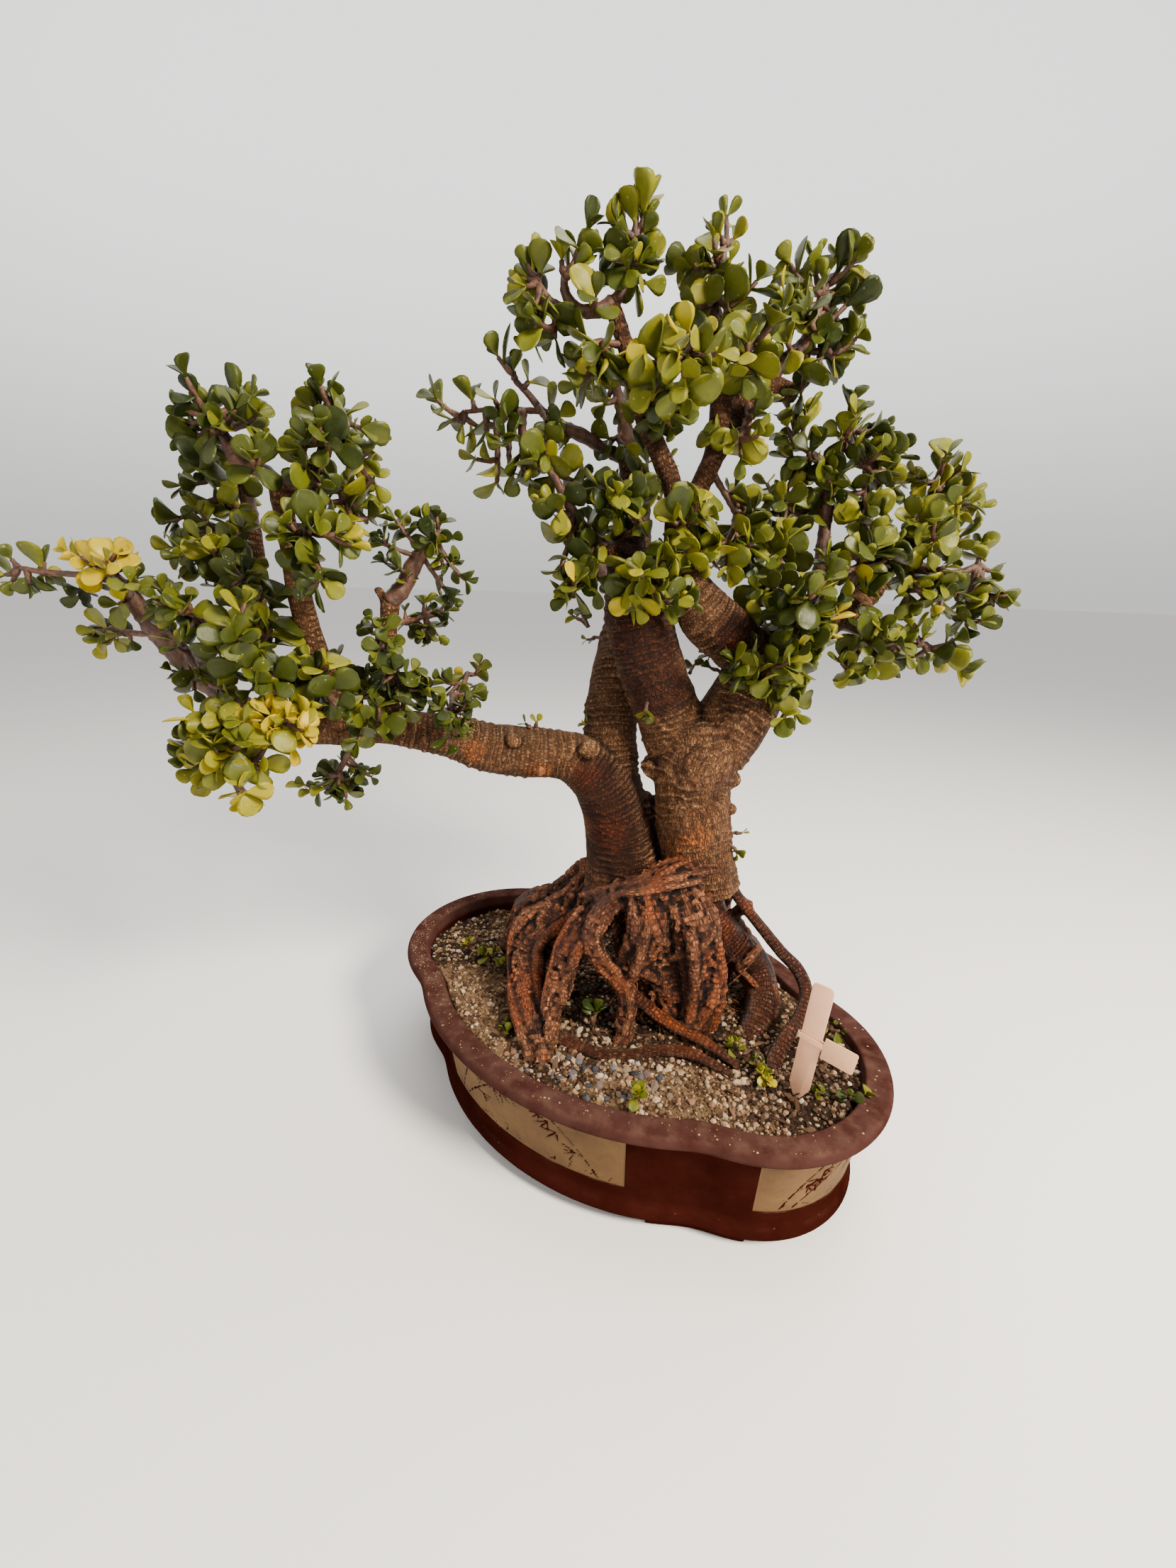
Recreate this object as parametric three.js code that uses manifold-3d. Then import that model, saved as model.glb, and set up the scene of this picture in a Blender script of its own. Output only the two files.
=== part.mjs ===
// Dwarf jade bonsai: an old, twin-trunked tree with exposed roots in a shallow unglazed pot.
// Millimetres, +Z up. The origin is the middle of the plane that the pot stands on, and X runs
// along the pot's long axis.
import * as THREE from 'three';
import { mergeVertices } from 'three/addons/utils/BufferGeometryUtils.js';
import Module from 'manifold-3d';

const wasm = await Module();
wasm.setup();

// The pot's outline at the lip: two round end lobes and two long, flatter side lobes, which meet
// in four shallow notches.
const POT = {
  halfLength: 200, endRadius: 93, sideLength: 169, sideWidth: 133, notchBlend: 0.36,
  underside: 7, floor: 15, sides: 48, notchAngle: 38,
};
// Rows of the outer and inner wall: how far inside the lip's outline, and how high.
const OUTER_WALL = [[19, 7], [15.5, 10.5], [15.5, 15], [19, 21], [10, 82], [1.5, 83.5], [0, 86], [2, 91]];
const INNER_WALL = [[31, 15], [26.5, 19], [19.5, 84], [17.5, 91.5]];
const PANEL = { low: 31, high: 78, depth: 0.8, sideHalfAngle: 36, endHalfAngle: 27.5 };
const FOOT = { halfAngle: 10, outer: 21, inner: 37, centreRadius: 30 };
const DRAIN = { radius: 10, x: 75, screen: 36, screenThickness: 1, mesh: 12, bar: 4 };

// The soil: level near the front rim, lower behind the west end, heaped at the roots.
const SOIL = { level: 86, drop: 10, heap: 5, heapRadius: 85, grit: 0.8 };

// Pieces that touch keep this running gap.
const GAP = 0.35;

// The tree's front is turned this far from the pot's, so the tree has axes of its own: u to the
// right and v to the back, as one stands in front of it, and z up from the pot's feet.
const TREE_TURN = THREE.MathUtils.degToRad(36.4);

// Wood: [u, v, z, radius] along the middle of each trunk, limb and root.
const LIMBS = {
  right_trunk: [[55, 2, 178, 30.5], [53, 0, 202, 26.8], [47, -2, 233, 26.2], [44, -3, 253, 26.2],
    [44, -3, 268, 29.4], [47, -3, 287, 30.4], [47, -3, 300, 24.9]],
  left_leader: [[37, -3, 279, 22.3], [24, -4, 305, 21.5], [14, -6, 328, 21], [5, -8, 350, 21.3],
    [0, -10, 368, 21.4], [-4, -10, 388, 17.6], [-7, -6, 405, 11.5], [-6, 0, 424, 8.7],
    [-5, 8, 444, 7.9], [-10, 14, 464, 5.9]],
  torn_stub: [[-7, -14, 385, 8.3], [-20, -20, 408, 5.5]],
  right_leader: [[57, -3, 280, 24.3], [71, -3, 307, 24.8], [82, 0, 329, 23.1], [93, 4, 345, 19.8],
    [109, 6, 358, 15.5], [129, 8, 370, 11.7], [148, 10, 382, 8.4], [158, 12, 396, 7.4],
    [165, 14, 412, 6.4]],
  cross_limb: [[83, 0, 336, 18], [60, -8, 357, 17], [42, -13, 371, 15.6], [28, -15, 390, 12],
    [21, -12, 412, 7.6]],
  front_crown: [[21, -12, 412, 7.3], [18, -8, 441, 5.9], [8, -10, 461, 6], [-1, -12, 478, 6.1],
    [-7, -14, 494, 5.6], [-13, -14, 509, 4.9], [-19, -14, 524, 4.7], [-23, -14, 532, 5]],
  mid_crown: [[22, -11, 414, 6.5], [33, -6, 442, 6], [41, -4, 461, 6.3], [43, -4, 478, 6.2],
    [42, -4, 499, 5.7], [38, -6, 524, 5.6]],
  rear_crown: [[41, -4, 459, 5.5], [53, 6, 480, 6.8], [61, 12, 499, 8.1], [74, 14, 502, 7.3],
    [88, 14, 500, 5.6]],
  back_trunk: [[-5, 8, 233, 21.6], [-10, 10, 256, 19.3], [-12, 14, 279, 18.7], [-13, 20, 300, 17.6],
    [-13, 28, 322, 15.6], [-10, 42, 345, 13.3], [-3, 60, 372, 11.5], [5, 80, 402, 9.1],
    [7, 98, 431, 7.1]],
  left_limb: [[1, 4, 178, 31.2], [-2, 3, 201, 25.4], [-6, 2, 221, 23.5], [-13, 0, 243, 22.1],
    [-24, -2, 262, 19.7], [-43, -6, 274, 17.2], [-71, -12, 278, 17.4], [-94, -18, 282, 16.6],
    [-115, -26, 290, 13.9], [-136, -32, 295, 12.3], [-156, -40, 299, 10.8], [-172, -46, 300, 12.1],
    [-189, -54, 300, 9.9], [-205, -62, 300, 7.9], [-219, -70, 299, 5.7]],
  left_upright: [[-177, -54, 305, 8], [-179, -62, 332, 6.9], [-183, -68, 359, 6.6],
    [-185, -72, 380, 6.4], [-185, -74, 397, 5.5], [-186, -76, 414, 5], [-185, -78, 428, 6]],
  left_rear: [[-204, -58, 303, 6.3], [-219, -50, 323, 5.5], [-226, -42, 350, 5.4],
    [-226, -34, 382, 5.4], [-228, -28, 412, 5]],
  left_mid: [[-151, -38, 303, 6.6], [-152, -34, 331, 5.6], [-152, -30, 352, 5.4], [-150, -28, 373, 6.2]],
  left_stub: [[-151, -29, 358, 5], [-151, -28, 370, 3.6], [-157, -30, 381, 2.8]],
};
const ROOTS = {
  root_core: [[32, 10, 189, 33], [36, 8, 156, 36], [40, 2, 127, 33], [44, -7, 97, 28.5],
    [47, -20, 71, 24], [49, -32, 47, 20]],
  root_left: [[-10, 6, 180, 17], [-32, 4, 155, 15.8], [-56, 0, 139, 15.2], [-69, -10, 118, 13.9],
    [-66, -34, 101, 11.3], [-60, -58, 93, 10.3], [-55, -74, 85, 9], [-52, -84, 75, 7]],
  root_left_rear: [[-20, 14, 178, 14], [-44, 22, 149, 12.8], [-69, 30, 131, 12.6],
    [-79, 34, 109, 11.1], [-87, 36, 86, 8.9]],
  root_left_inner: [[-5, -16, 176, 10.2], [-22, -26, 159, 10], [-36, -34, 140, 9], [-45, -44, 121, 7.9],
    [-48, -58, 105, 6.8], [-48, -70, 92, 5.3]],
  root_arch: [[2, -22, 181, 8.5], [-15, -34, 170, 7.8], [-22, -40, 156, 7.3], [-16, -44, 141, 6.6],
    [-5, -48, 129, 5.9], [3, -52, 117, 5.4], [3, -56, 97, 6.4], [3, -60, 82, 4.9]],
  root_collar: [[-28, -10, 166, 7.4], [-6, -24, 180, 9.2], [16, -29, 190, 9.6], [38, -27, 198, 9],
    [64, -14, 199, 6.8]],
  root_front: [[12, -26, 184, 11.4], [17, -40, 168, 12.1], [13, -44, 149, 10.7], [4, -46, 132, 7.8]],
  root_ridge: [[39, -24, 183, 13.9], [48, -38, 168, 13.6], [53, -42, 143, 13.2], [53, -44, 116, 12.9],
    [51, -48, 92, 12], [50, -54, 70, 9.6]],
  root_right: [[62, -4, 187, 11.9], [66, -4, 158, 12.6], [83, -2, 133, 14], [102, -4, 112, 14.1],
    [107, -20, 97, 12.7], [100, -36, 86, 11.4], [89, -52, 76, 8]],
  root_right_rear: [[60, 22, 171, 16.5], [76, 38, 143, 14], [88, 47, 114, 11.6], [95, 52, 82, 8.9]],
  root_rear: [[27, 22, 173, 19.2], [25, 46, 145, 15.8], [19, 66, 115, 13], [18, 80, 86, 10.3]],
  root_aerial: [[67, -6, 198, 6.1], [83, -8, 174, 4.4], [103, -12, 150, 4.4], [120, -16, 131, 4.4],
    [130, -22, 122, 4.9], [134, -30, 114, 5.1], [132, -40, 109, 5], [124, -52, 102, 4.9],
    [112, -64, 96, 5.3], [103, -74, 88, 6.2], [98, -84, 82, 4.2]],
  root_surface: [[-54, -58, 92, 6.4], [-37, -66, 90, 4.6], [-17, -75, 89, 4], [2, -76, 88, 4],
    [25, -74, 91, 4], [46, -76, 91, 4], [59, -84, 90, 3.5], [71, -90, 88, 2.3]],
};

// Leafy branches: the stems as rows of [u, v, z, radius], and the place where each shoot ends.
const BOUGHS = {
  left_top_west: {
    stems: [
      [[-185, -78, 428, 4.2], [-193, -80, 435, 3.8], [-204, -82, 439, 3.3], [-208, -82, 449, 2.6],
        [-213, -80, 457, 2]],
    ],
    tips: [[-228, -88, 469], [-240, -66, 460], [-205, -102, 460], [-204, -62, 483], [-183, -88, 469],
      [-184, -108, 449], [-238, -60, 450]],
  },
  left_top_east: {
    stems: [
      [[-184, -78, 429, 4.2], [-174, -78, 434, 3.5], [-164, -76, 443, 3.2], [-160, -74, 452, 2.6],
        [-159, -72, 460, 1.9]],
    ],
    tips: [[-159, -70, 482], [-145, -76, 470], [-177, -60, 476], [-151, -104, 456], [-168, -100, 445],
      [-138, -56, 452], [-140, -44, 443], [-156, -50, 462]],
  },
  left_back_east: {
    stems: [
      [[-186, -74, 428, 2.5], [-178, -58, 430, 1.9], [-168, -44, 431, 1.6]],
    ],
    tips: [[-174, -30, 443], [-151, -36, 417], [-167, -40, 416], [-181, -40, 442]],
  },
  left_front_mid: {
    stems: [
      [[-186, -76, 411, 1.8], [-171, -92, 409, 1.4]],
    ],
    tips: [[-144, -100, 417], [-156, -112, 418], [-148, -118, 393], [-169, -114, 406]],
  },
  left_rear_top: {
    stems: [
      [[-228, -28, 412, 4.5], [-231, -24, 433, 3.7], [-233, -24, 443, 2.4]],
    ],
    tips: [[-269, -40, 443], [-252, -26, 449], [-250, 0, 440], [-252, -60, 417], [-280, -42, 409],
      [-239, -44, 427], [-227, -46, 448]],
  },
  left_inner: {
    stems: [
      [[-227, -36, 376, 3.1], [-229, -54, 393, 2.3], [-234, -62, 402, 1.7]],
    ],
    tips: [[-250, -62, 410], [-254, -58, 392], [-210, -94, 388], [-198, -90, 392], [-244, -72, 383]],
  },
  left_fore: {
    stems: [
      [[-187, -62, 311, 5.8], [-198, -72, 333, 5.1], [-209, -82, 352, 4.1], [-221, -86, 359, 2.6],
        [-237, -86, 367, 1.8]],
    ],
    tips: [[-264, -66, 385], [-252, -82, 370], [-237, -98, 361], [-231, -94, 380], [-193, -122, 368],
      [-216, -108, 354], [-183, -110, 345], [-189, -80, 390], [-194, -70, 360]],
  },
  far_left: {
    stems: [
      [[-196, -58, 301, 8.4], [-225, -56, 307, 8], [-249, -54, 324, 7.5], [-268, -52, 342, 7],
        [-283, -52, 362, 5.9], [-292, -52, 377, 4.2], [-300, -52, 386, 2.8], [-309, -54, 392, 1.8]],
      [[-294, -52, 380, 2.4], [-318, -50, 383, 1.8], [-340, -48, 384, 1.6], [-355, -46, 386, 1.2]],
      [[-276, -51, 352, 2], [-298, -42, 351, 1.7], [-312, -40, 353, 1.3]],
      [[-261, -53, 335, 2.5], [-251, -70, 346, 1.8]],
    ],
    tips: [[-320, -60, 405], [-282, -64, 406], [-282, -46, 391], [-259, -76, 375], [-266, -82, 391],
      [-356, -50, 397], [-374, -42, 389], [-369, -46, 379], [-316, -64, 371], [-346, -40, 372],
      [-341, -42, 398], [-288, -72, 374], [-331, -32, 349], [-301, -38, 342], [-317, -30, 361],
      [-250, -84, 355], [-230, -92, 343], [-239, -86, 329], [-213, -98, 337]],
  },
  limb_end: {
    stems: [
      [[-214, -68, 298, 5.5], [-222, -76, 298, 3.6], [-225, -88, 304, 2.3], [-231, -90, 303, 1.7]],
    ],
    tips: [[-255, -84, 310], [-256, -92, 289], [-231, -102, 317], [-212, -112, 326], [-196, -118, 329],
      [-191, -128, 320], [-197, -122, 288], [-191, -114, 300]],
  },
  limb_front: {
    stems: [
      [[-196, -62, 304, 2.5], [-194, -84, 312, 1.7], [-194, -96, 316, 1.5]],
    ],
    tips: [[-194, -104, 327], [-175, -114, 330], [-169, -110, 323], [-172, -104, 309]],
  },
  upright_foot: {
    stems: [
      [[-179, -64, 336, 2.4], [-172, -82, 335, 1.7]],
    ],
    tips: [[-153, -104, 331], [-172, -102, 346], [-182, -92, 354], [-170, -96, 319]],
  },
  limb_top_mid: {
    stems: [
      [[-167, -46, 303, 2.2], [-167, -44, 317, 1.7]],
    ],
    tips: [[-183, -24, 335], [-162, -60, 332], [-152, -80, 318], [-194, -12, 341], [-140, -78, 318]],
  },
  mid_upright_foot: {
    stems: [
      [[-152, -34, 329, 2.2], [-142, -50, 335, 1.7]],
    ],
    tips: [[-130, -72, 320], [-152, -58, 340], [-124, -52, 319], [-139, -68, 347]],
  },
  limb_top_right: {
    stems: [
      [[-115, -26, 294, 2.8], [-114, -30, 316, 2.2], [-110, -48, 320, 1.6], [-108, -62, 316, 1.3]],
      [[-114, -29, 313, 2], [-110, -10, 324, 1.6], [-110, 0, 328, 1.3]],
    ],
    tips: [[-106, -78, 313], [-109, -76, 295], [-131, -12, 333], [-119, 10, 328], [-97, 6, 334],
      [-93, -12, 317], [-104, -42, 327]],
  },
  limb_under: {
    stems: [
      [[-171, -46, 297, 3], [-179, -38, 281, 2], [-189, -32, 266, 1.6]],
    ],
    tips: [[-219, -26, 257], [-175, -32, 247], [-206, -12, 268], [-167, -20, 271], [-187, -48, 260]],
  },
  mid_upright_top: {
    stems: [
      [[-150, -28, 373, 5.5], [-142, -26, 382, 5.1], [-136, -24, 394, 4.7], [-128, -22, 405, 3.6],
        [-121, -20, 410, 2.3]],
    ],
    tips: [[-110, -14, 416], [-133, -24, 431], [-96, -20, 392], [-110, -32, 396], [-109, -8, 382],
      [-123, -42, 416], [-158, -34, 416], [-147, -36, 401]],
  },
  mid_upright_side: {
    stems: [
      [[-151, -29, 360, 2.1], [-145, -12, 361, 1.8], [-138, 4, 363, 1.6]],
    ],
    tips: [[-140, 16, 378], [-121, 20, 376], [-137, -4, 351], [-128, 10, 345]],
  },
  mid_upright_left: {
    stems: [
      [[-152, -31, 352, 1.9], [-152, -46, 355, 1.4]],
    ],
    tips: [[-158, -50, 359], [-155, -56, 347], [-135, -66, 360], [-144, -62, 368]],
  },
  crown_left: {
    stems: [
      [[-23, -14, 532, 4.3], [-32, -16, 528, 3.5], [-42, -16, 529, 3.3], [-48, -16, 536, 2.5],
        [-49, -16, 545, 1.7]],
      [[-42, -16, 528, 2.3], [-55, -18, 531, 1.9], [-63, -18, 540, 1.3]],
    ],
    tips: [[-51, -18, 558], [-39, -22, 553], [-37, -12, 566], [-30, -32, 541], [-72, -12, 550],
      [-76, -22, 540], [-80, -22, 520], [-71, -4, 528], [-58, -30, 512]],
  },
  crown_top: {
    stems: [
      [[-22, -14, 533, 3.5], [-16, -12, 540, 2.7], [-12, -10, 550, 2.1], [-12, -8, 565, 1.7]],
    ],
    tips: [[-12, -6, 596], [-26, -10, 581], [-3, 0, 583], [-8, -28, 557], [-17, -26, 553], [-2, 8, 566],
      [1, -24, 547], [-22, 12, 585]],
  },
  crown_left_inner: {
    stems: [
      [[-15, -14, 513, 2], [-27, -22, 512, 1.5]],
    ],
    tips: [[-42, -32, 519], [-54, -30, 499], [-37, -4, 504], [-27, -44, 513], [-50, -14, 511]],
  },
  crown_mid_gap: {
    stems: [
      [[-7, -14, 492, 2.4], [3, -22, 497, 1.8], [7, -28, 504, 1.3]],
    ],
    tips: [[-8, -42, 508], [-2, -42, 481], [18, -36, 485], [6, -18, 526], [-7, -52, 494]],
  },
  crown_centre: {
    stems: [
      [[38, -6, 524, 4], [35, -6, 536, 3.2], [37, -6, 551, 2.5], [37, -6, 564, 1.7]],
    ],
    tips: [[24, -18, 558], [46, -2, 574], [43, -18, 557], [9, -8, 564], [15, -24, 542], [45, -32, 539],
      [53, -24, 533], [28, 16, 551]],
  },
  crown_front: {
    stems: [
      [[39, -6, 515, 2.4], [28, -26, 513, 1.9], [20, -42, 511, 1.5]],
    ],
    tips: [[12, -60, 515], [9, -74, 497], [9, -68, 488], [26, -62, 498], [6, -42, 512]],
  },
  crown_mid_right: {
    stems: [
      [[40, -5, 509, 2.4], [47, -16, 513, 1.8], [53, -22, 515, 1.3]],
    ],
    tips: [[43, -48, 504], [59, -36, 500], [35, -44, 514], [55, -10, 528], [72, 6, 535]],
  },
  crown_right: {
    stems: [
      [[71, 14, 503, 4.7], [81, 14, 516, 4.4], [93, 16, 527, 3.8], [98, 18, 541, 2.9], [101, 20, 553, 2.1]],
    ],
    tips: [[74, 18, 583], [82, 8, 570], [93, 24, 587], [68, 6, 562], [81, -8, 547], [119, 28, 575],
      [113, 14, 556], [131, 24, 549], [114, 8, 539], [73, -12, 535], [96, -6, 538]],
  },
  crown_right_low: {
    stems: [
      [[89, 15, 523, 2.5], [100, 18, 523, 1.9], [107, 18, 525, 1.5]],
    ],
    tips: [[120, 18, 521], [103, 32, 537], [87, -6, 506], [114, 28, 538]],
  },
  crown_stub: {
    stems: [
      [[60, 10, 494, 2.6], [59, -8, 481, 1.8]],
    ],
    tips: [[58, -18, 465], [46, -24, 464], [66, -16, 497], [41, -32, 476]],
  },
  west_branch: {
    stems: [
      [[-12, 14, 462, 4.4], [-24, 10, 466, 3.5], [-36, 4, 471, 4.1], [-51, 0, 476, 3.6],
        [-61, -4, 482, 2.7], [-69, -6, 490, 2], [-77, -6, 497, 1.6]],
      [[-62, -4, 482, 1.9], [-88, -6, 482, 1.4], [-106, -6, 480, 1.2]],
    ],
    tips: [[-78, -8, 507], [-66, -12, 501], [-102, -8, 493], [-122, -4, 480], [-114, -2, 471],
      [-90, -20, 469], [-67, -36, 454], [-85, -26, 450], [-52, -30, 485], [-45, -18, 486], [-55, -42, 466]],
  },
  west_low: {
    stems: [
      [[-6, -10, 403, 4.4], [-23, -18, 409, 3.4], [-34, -20, 418, 2.9], [-43, -22, 429, 3.1],
        [-51, -22, 442, 2.7], [-57, -22, 450, 1.8]],
    ],
    tips: [[-67, -28, 452], [-59, -14, 460], [-45, -8, 459], [-48, -42, 432], [-59, -40, 403],
      [-52, -46, 387], [-35, -54, 406], [-27, -52, 395], [-55, -28, 422]],
  },
  grey_top: {
    stems: [
      [[-10, 14, 464, 5.5], [-12, 18, 481, 4.6], [-16, 22, 497, 3.3], [-19, 24, 507, 2.2]],
    ],
    tips: [[-31, 8, 499], [-28, -2, 481], [1, 42, 491], [-1, 42, 526], [-35, 32, 498]],
  },
  leader_front: {
    stems: [
      [[-6, 2, 433, 2.6], [-12, -20, 440, 1.9]],
    ],
    tips: [[-28, -42, 443], [-18, -48, 450], [-2, -38, 437], [-33, -28, 438], [10, -34, 430]],
  },
  torn_front: {
    stems: [
      [[-5, -10, 397, 3.1], [-3, -32, 401, 2.1]],
    ],
    tips: [[-15, -56, 395], [19, -56, 406], [22, -70, 389], [-4, -60, 384], [31, -46, 397],
      [-19, -40, 380]],
  },
  centre_low: {
    stems: [
      [[21, -11, 416, 3], [23, -28, 423, 2]],
    ],
    tips: [[11, -48, 433], [23, -56, 414], [7, -50, 419], [43, -30, 440], [30, -34, 446], [17, -44, 401]],
  },
  centre_right: {
    stems: [
      [[39, -4, 455, 2.5], [51, -2, 440, 1.9], [59, -4, 428, 1.7]],
    ],
    tips: [[60, 14, 450], [46, -34, 409], [78, 0, 425], [91, 28, 449], [65, -26, 410], [40, -38, 423]],
  },
  right_upright: {
    stems: [
      [[114, 6, 360, 8], [119, 12, 384, 5.8], [120, 16, 410, 4.4], [120, 18, 430, 4.3],
        [120, 20, 449, 4.5], [117, 20, 464, 4.2]],
      [[118, 20, 463, 2.7], [108, 20, 468, 2], [97, 20, 474, 1.6]],
      [[118, 20, 463, 2.7], [125, 20, 472, 2], [129, 20, 483, 1.5]],
    ],
    tips: [[89, 22, 476], [112, 6, 486], [129, 22, 491], [113, -4, 471], [102, 10, 460], [140, 30, 488],
      [104, 32, 462], [120, -6, 452]],
  },
  right_mid_top: {
    stems: [
      [[143, 9, 379, 4.2], [148, 14, 407, 3.2], [147, 16, 430, 2.5], [143, 18, 449, 2],
        [140, 18, 463, 1.6]],
    ],
    tips: [[157, 24, 487], [147, 4, 461], [128, 12, 467], [172, 34, 489], [137, -10, 448],
      [161, 14, 449], [131, -2, 437], [178, 34, 469]],
  },
  right_top: {
    stems: [
      [[164, 14, 410, 6], [175, 16, 425, 4.1], [184, 18, 440, 3.4], [187, 20, 455, 2]],
    ],
    tips: [[188, 18, 467], [205, 24, 466], [173, 12, 459], [165, -2, 446], [234, 34, 454],
      [215, 14, 429], [234, 24, 427], [185, -12, 424], [185, -16, 432]],
  },
  right_end: {
    stems: [
      [[164, 13, 406, 5.1], [187, 18, 403, 3.7], [211, 22, 400, 2.8], [228, 24, 406, 1.9]],
    ],
    tips: [[226, 22, 419], [244, 26, 408], [257, 26, 391], [198, -6, 386], [179, -16, 402],
      [199, -2, 417], [244, 24, 373], [176, -10, 389]],
  },
  right_low: {
    stems: [
      [[132, 8, 371, 6.1], [147, 2, 363, 4.2], [168, -4, 354, 2.8], [186, -6, 356, 1.8]],
    ],
    tips: [[143, -38, 356], [193, -10, 348], [206, 0, 360], [181, -16, 369], [164, -24, 370],
      [164, -12, 340], [130, -32, 348], [222, 14, 364]],
  },
  right_front: {
    stems: [
      [[109, 4, 359, 3.3], [103, -24, 371, 2.2]],
    ],
    tips: [[84, -46, 372], [91, -56, 368], [107, -42, 376], [115, -38, 355], [84, -50, 398],
      [94, -46, 405], [122, -32, 368]],
  },
  right_foot: {
    stems: [
      [[90, 0, 344, 2.8], [80, -32, 348, 1.9]],
    ],
    tips: [[75, -54, 344], [56, -38, 359], [48, -32, 349], [112, -26, 333], [119, -20, 320]],
  },
  right_inner: {
    stems: [
      [[96, 4, 354, 3.7], [96, 10, 383, 3], [91, 12, 409, 2.5], [92, 14, 431, 2], [92, 14, 441, 1.6]],
    ],
    tips: [[87, 18, 458], [82, 14, 446], [99, 6, 441], [65, -22, 398], [71, -24, 386], [86, -18, 415],
      [80, -28, 398], [117, 22, 444]],
  },
  right_centre: {
    stems: [
      [[136, 8, 375, 3.3], [132, -8, 393, 2.2], [134, -14, 405, 1.7]],
    ],
    tips: [[118, -24, 400], [141, -26, 401], [123, -8, 421], [157, -18, 405], [106, -26, 407],
      [161, -6, 430]],
  },
  rear_top: {
    stems: [
      [[5, 80, 402, 8.5], [7, 98, 431, 6.5], [11, 112, 458, 4.4]],
    ],
    tips: [[-7, 104, 461], [38, 122, 460], [11, 128, 499], [-19, 100, 475], [30, 118, 494]],
  },
  rear_left: {
    stems: [
      [[-3, 60, 372, 7.8], [-21, 84, 394, 5.4], [-33, 98, 420, 3.3]],
    ],
    tips: [[-33, 112, 452], [-17, 118, 438], [-55, 96, 418], [-49, 90, 398], [-23, 126, 459]],
  },
  rear_right: {
    stems: [
      [[0, 66, 381, 7.9], [34, 96, 401, 5.5], [62, 112, 418, 3.4]],
    ],
    tips: [[75, 126, 436], [95, 116, 446], [57, 100, 390], [41, 132, 435], [106, 104, 418]],
  },
};

// Round swellings: cut-back branch collars and burrs, [u, v, z, radius].
const KNOBS = [
  [16, -8, 268, 8], [71, -6, 262, 6], [-106, -32, 292, 7], [-172, -52, 298, 9], [58, 2, 346, 9],
];

const LEAF = { length: [15, 20], width: 0.8, broadest: 0.52, tip: 0.55, share: 0.88, cup: 0.08, keel: 1.6 };
const JOIN = { attempts: 20, roots: 4, bend: 0.8, simple: 23, stray: 0.8 };
const STALK_RADIUS = 0.9;

const COLOURS = {
  clay: new THREE.MeshStandardMaterial({ color: 0x5a3430, roughness: 0.75, metalness: 0 }),
  soil: new THREE.MeshStandardMaterial({ color: 0x8c7a62, roughness: 1, metalness: 0 }),
  bark: new THREE.MeshStandardMaterial({ color: 0x7d5a3f, roughness: 0.9, metalness: 0 }),
  leaf: new THREE.MeshStandardMaterial({ color: 0x5f7a2a, roughness: 0.45, metalness: 0 }),
  label: new THREE.MeshStandardMaterial({ color: 0xe9d5c8, roughness: 0.5, metalness: 0 }),
  screen: new THREE.MeshStandardMaterial({ color: 0x20231f, roughness: 0.6, metalness: 0 }),
};

const { cos, sin, PI, hypot, max, min, abs, sqrt } = Math;
const rad = THREE.MathUtils.degToRad;

// A seeded random source, the same on every run.
function seeded(seed) {
  let a = seed >>> 0;
  return () => {
    a = (a + 0x6d2b79f5) >>> 0;
    let t = Math.imul(a ^ (a >>> 15), 1 | a);
    t = (t + Math.imul(t ^ (t >>> 7), 61 | t)) ^ t;
    return ((t ^ (t >>> 14)) >>> 0) / 4294967296;
  };
}

// From the tree's own axes to the pot's.
function onTree([u, v, z]) {
  const [c, s] = [cos(TREE_TURN), sin(TREE_TURN)];
  return new THREE.Vector3(u * c - v * s, u * s + v * c, z);
}

function geometryFrom(vertices, triangles) {
  const geometry = new THREE.BufferGeometry();
  geometry.setAttribute('position', new THREE.Float32BufferAttribute(vertices, 3));
  geometry.setIndex(triangles);
  return geometry;
}

function solidOf(geometry) {
  const bare = geometry.clone();
  bare.deleteAttribute('normal');
  bare.deleteAttribute('uv');
  const merged = mergeVertices(bare, 1e-4);
  return new wasm.Manifold(new wasm.Mesh({
    numProp: 3,
    vertProperties: new Float32Array(merged.attributes.position.array),
    triVerts: new Uint32Array(merged.index.array),
  }));
}

function geometryOf(solid) {
  const mesh = solid.getMesh();
  const geometry = geometryFrom(Array.from(mesh.vertProperties), Array.from(mesh.triVerts));
  geometry.computeVertexNormals();
  return geometry;
}

// Rings of equal count joined into a closed skin, with a fan over the first and the last.
function loft(rings) {
  const count = rings[0].length;
  const vertices = [];
  const triangles = [];
  rings.forEach((ring) => ring.forEach((p) => vertices.push(p.x, p.y, p.z)));
  for (let k = 0; k < rings.length - 1; k++) {
    for (let i = 0; i < count; i++) {
      const j = (i + 1) % count;
      const [a, b, c, d] = [k * count + i, k * count + j, (k + 1) * count + j, (k + 1) * count + i];
      triangles.push(a, b, c, a, c, d);
    }
  }
  [[0, rings[0], true], [(rings.length - 1) * count, rings.at(-1), false]].forEach(([start, ring, first]) => {
    const middle = ring.reduce((sum, p) => sum.add(p), new THREE.Vector3()).divideScalar(count);
    const hub = vertices.length / 3;
    vertices.push(middle.x, middle.y, middle.z);
    for (let i = 0; i < count; i++) {
      const [a, b] = [start + i, start + (i + 1) % count];
      triangles.push(...(first ? [hub, b, a] : [hub, a, b]));
    }
  });
  return geometryFrom(vertices, triangles);
}

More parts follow.
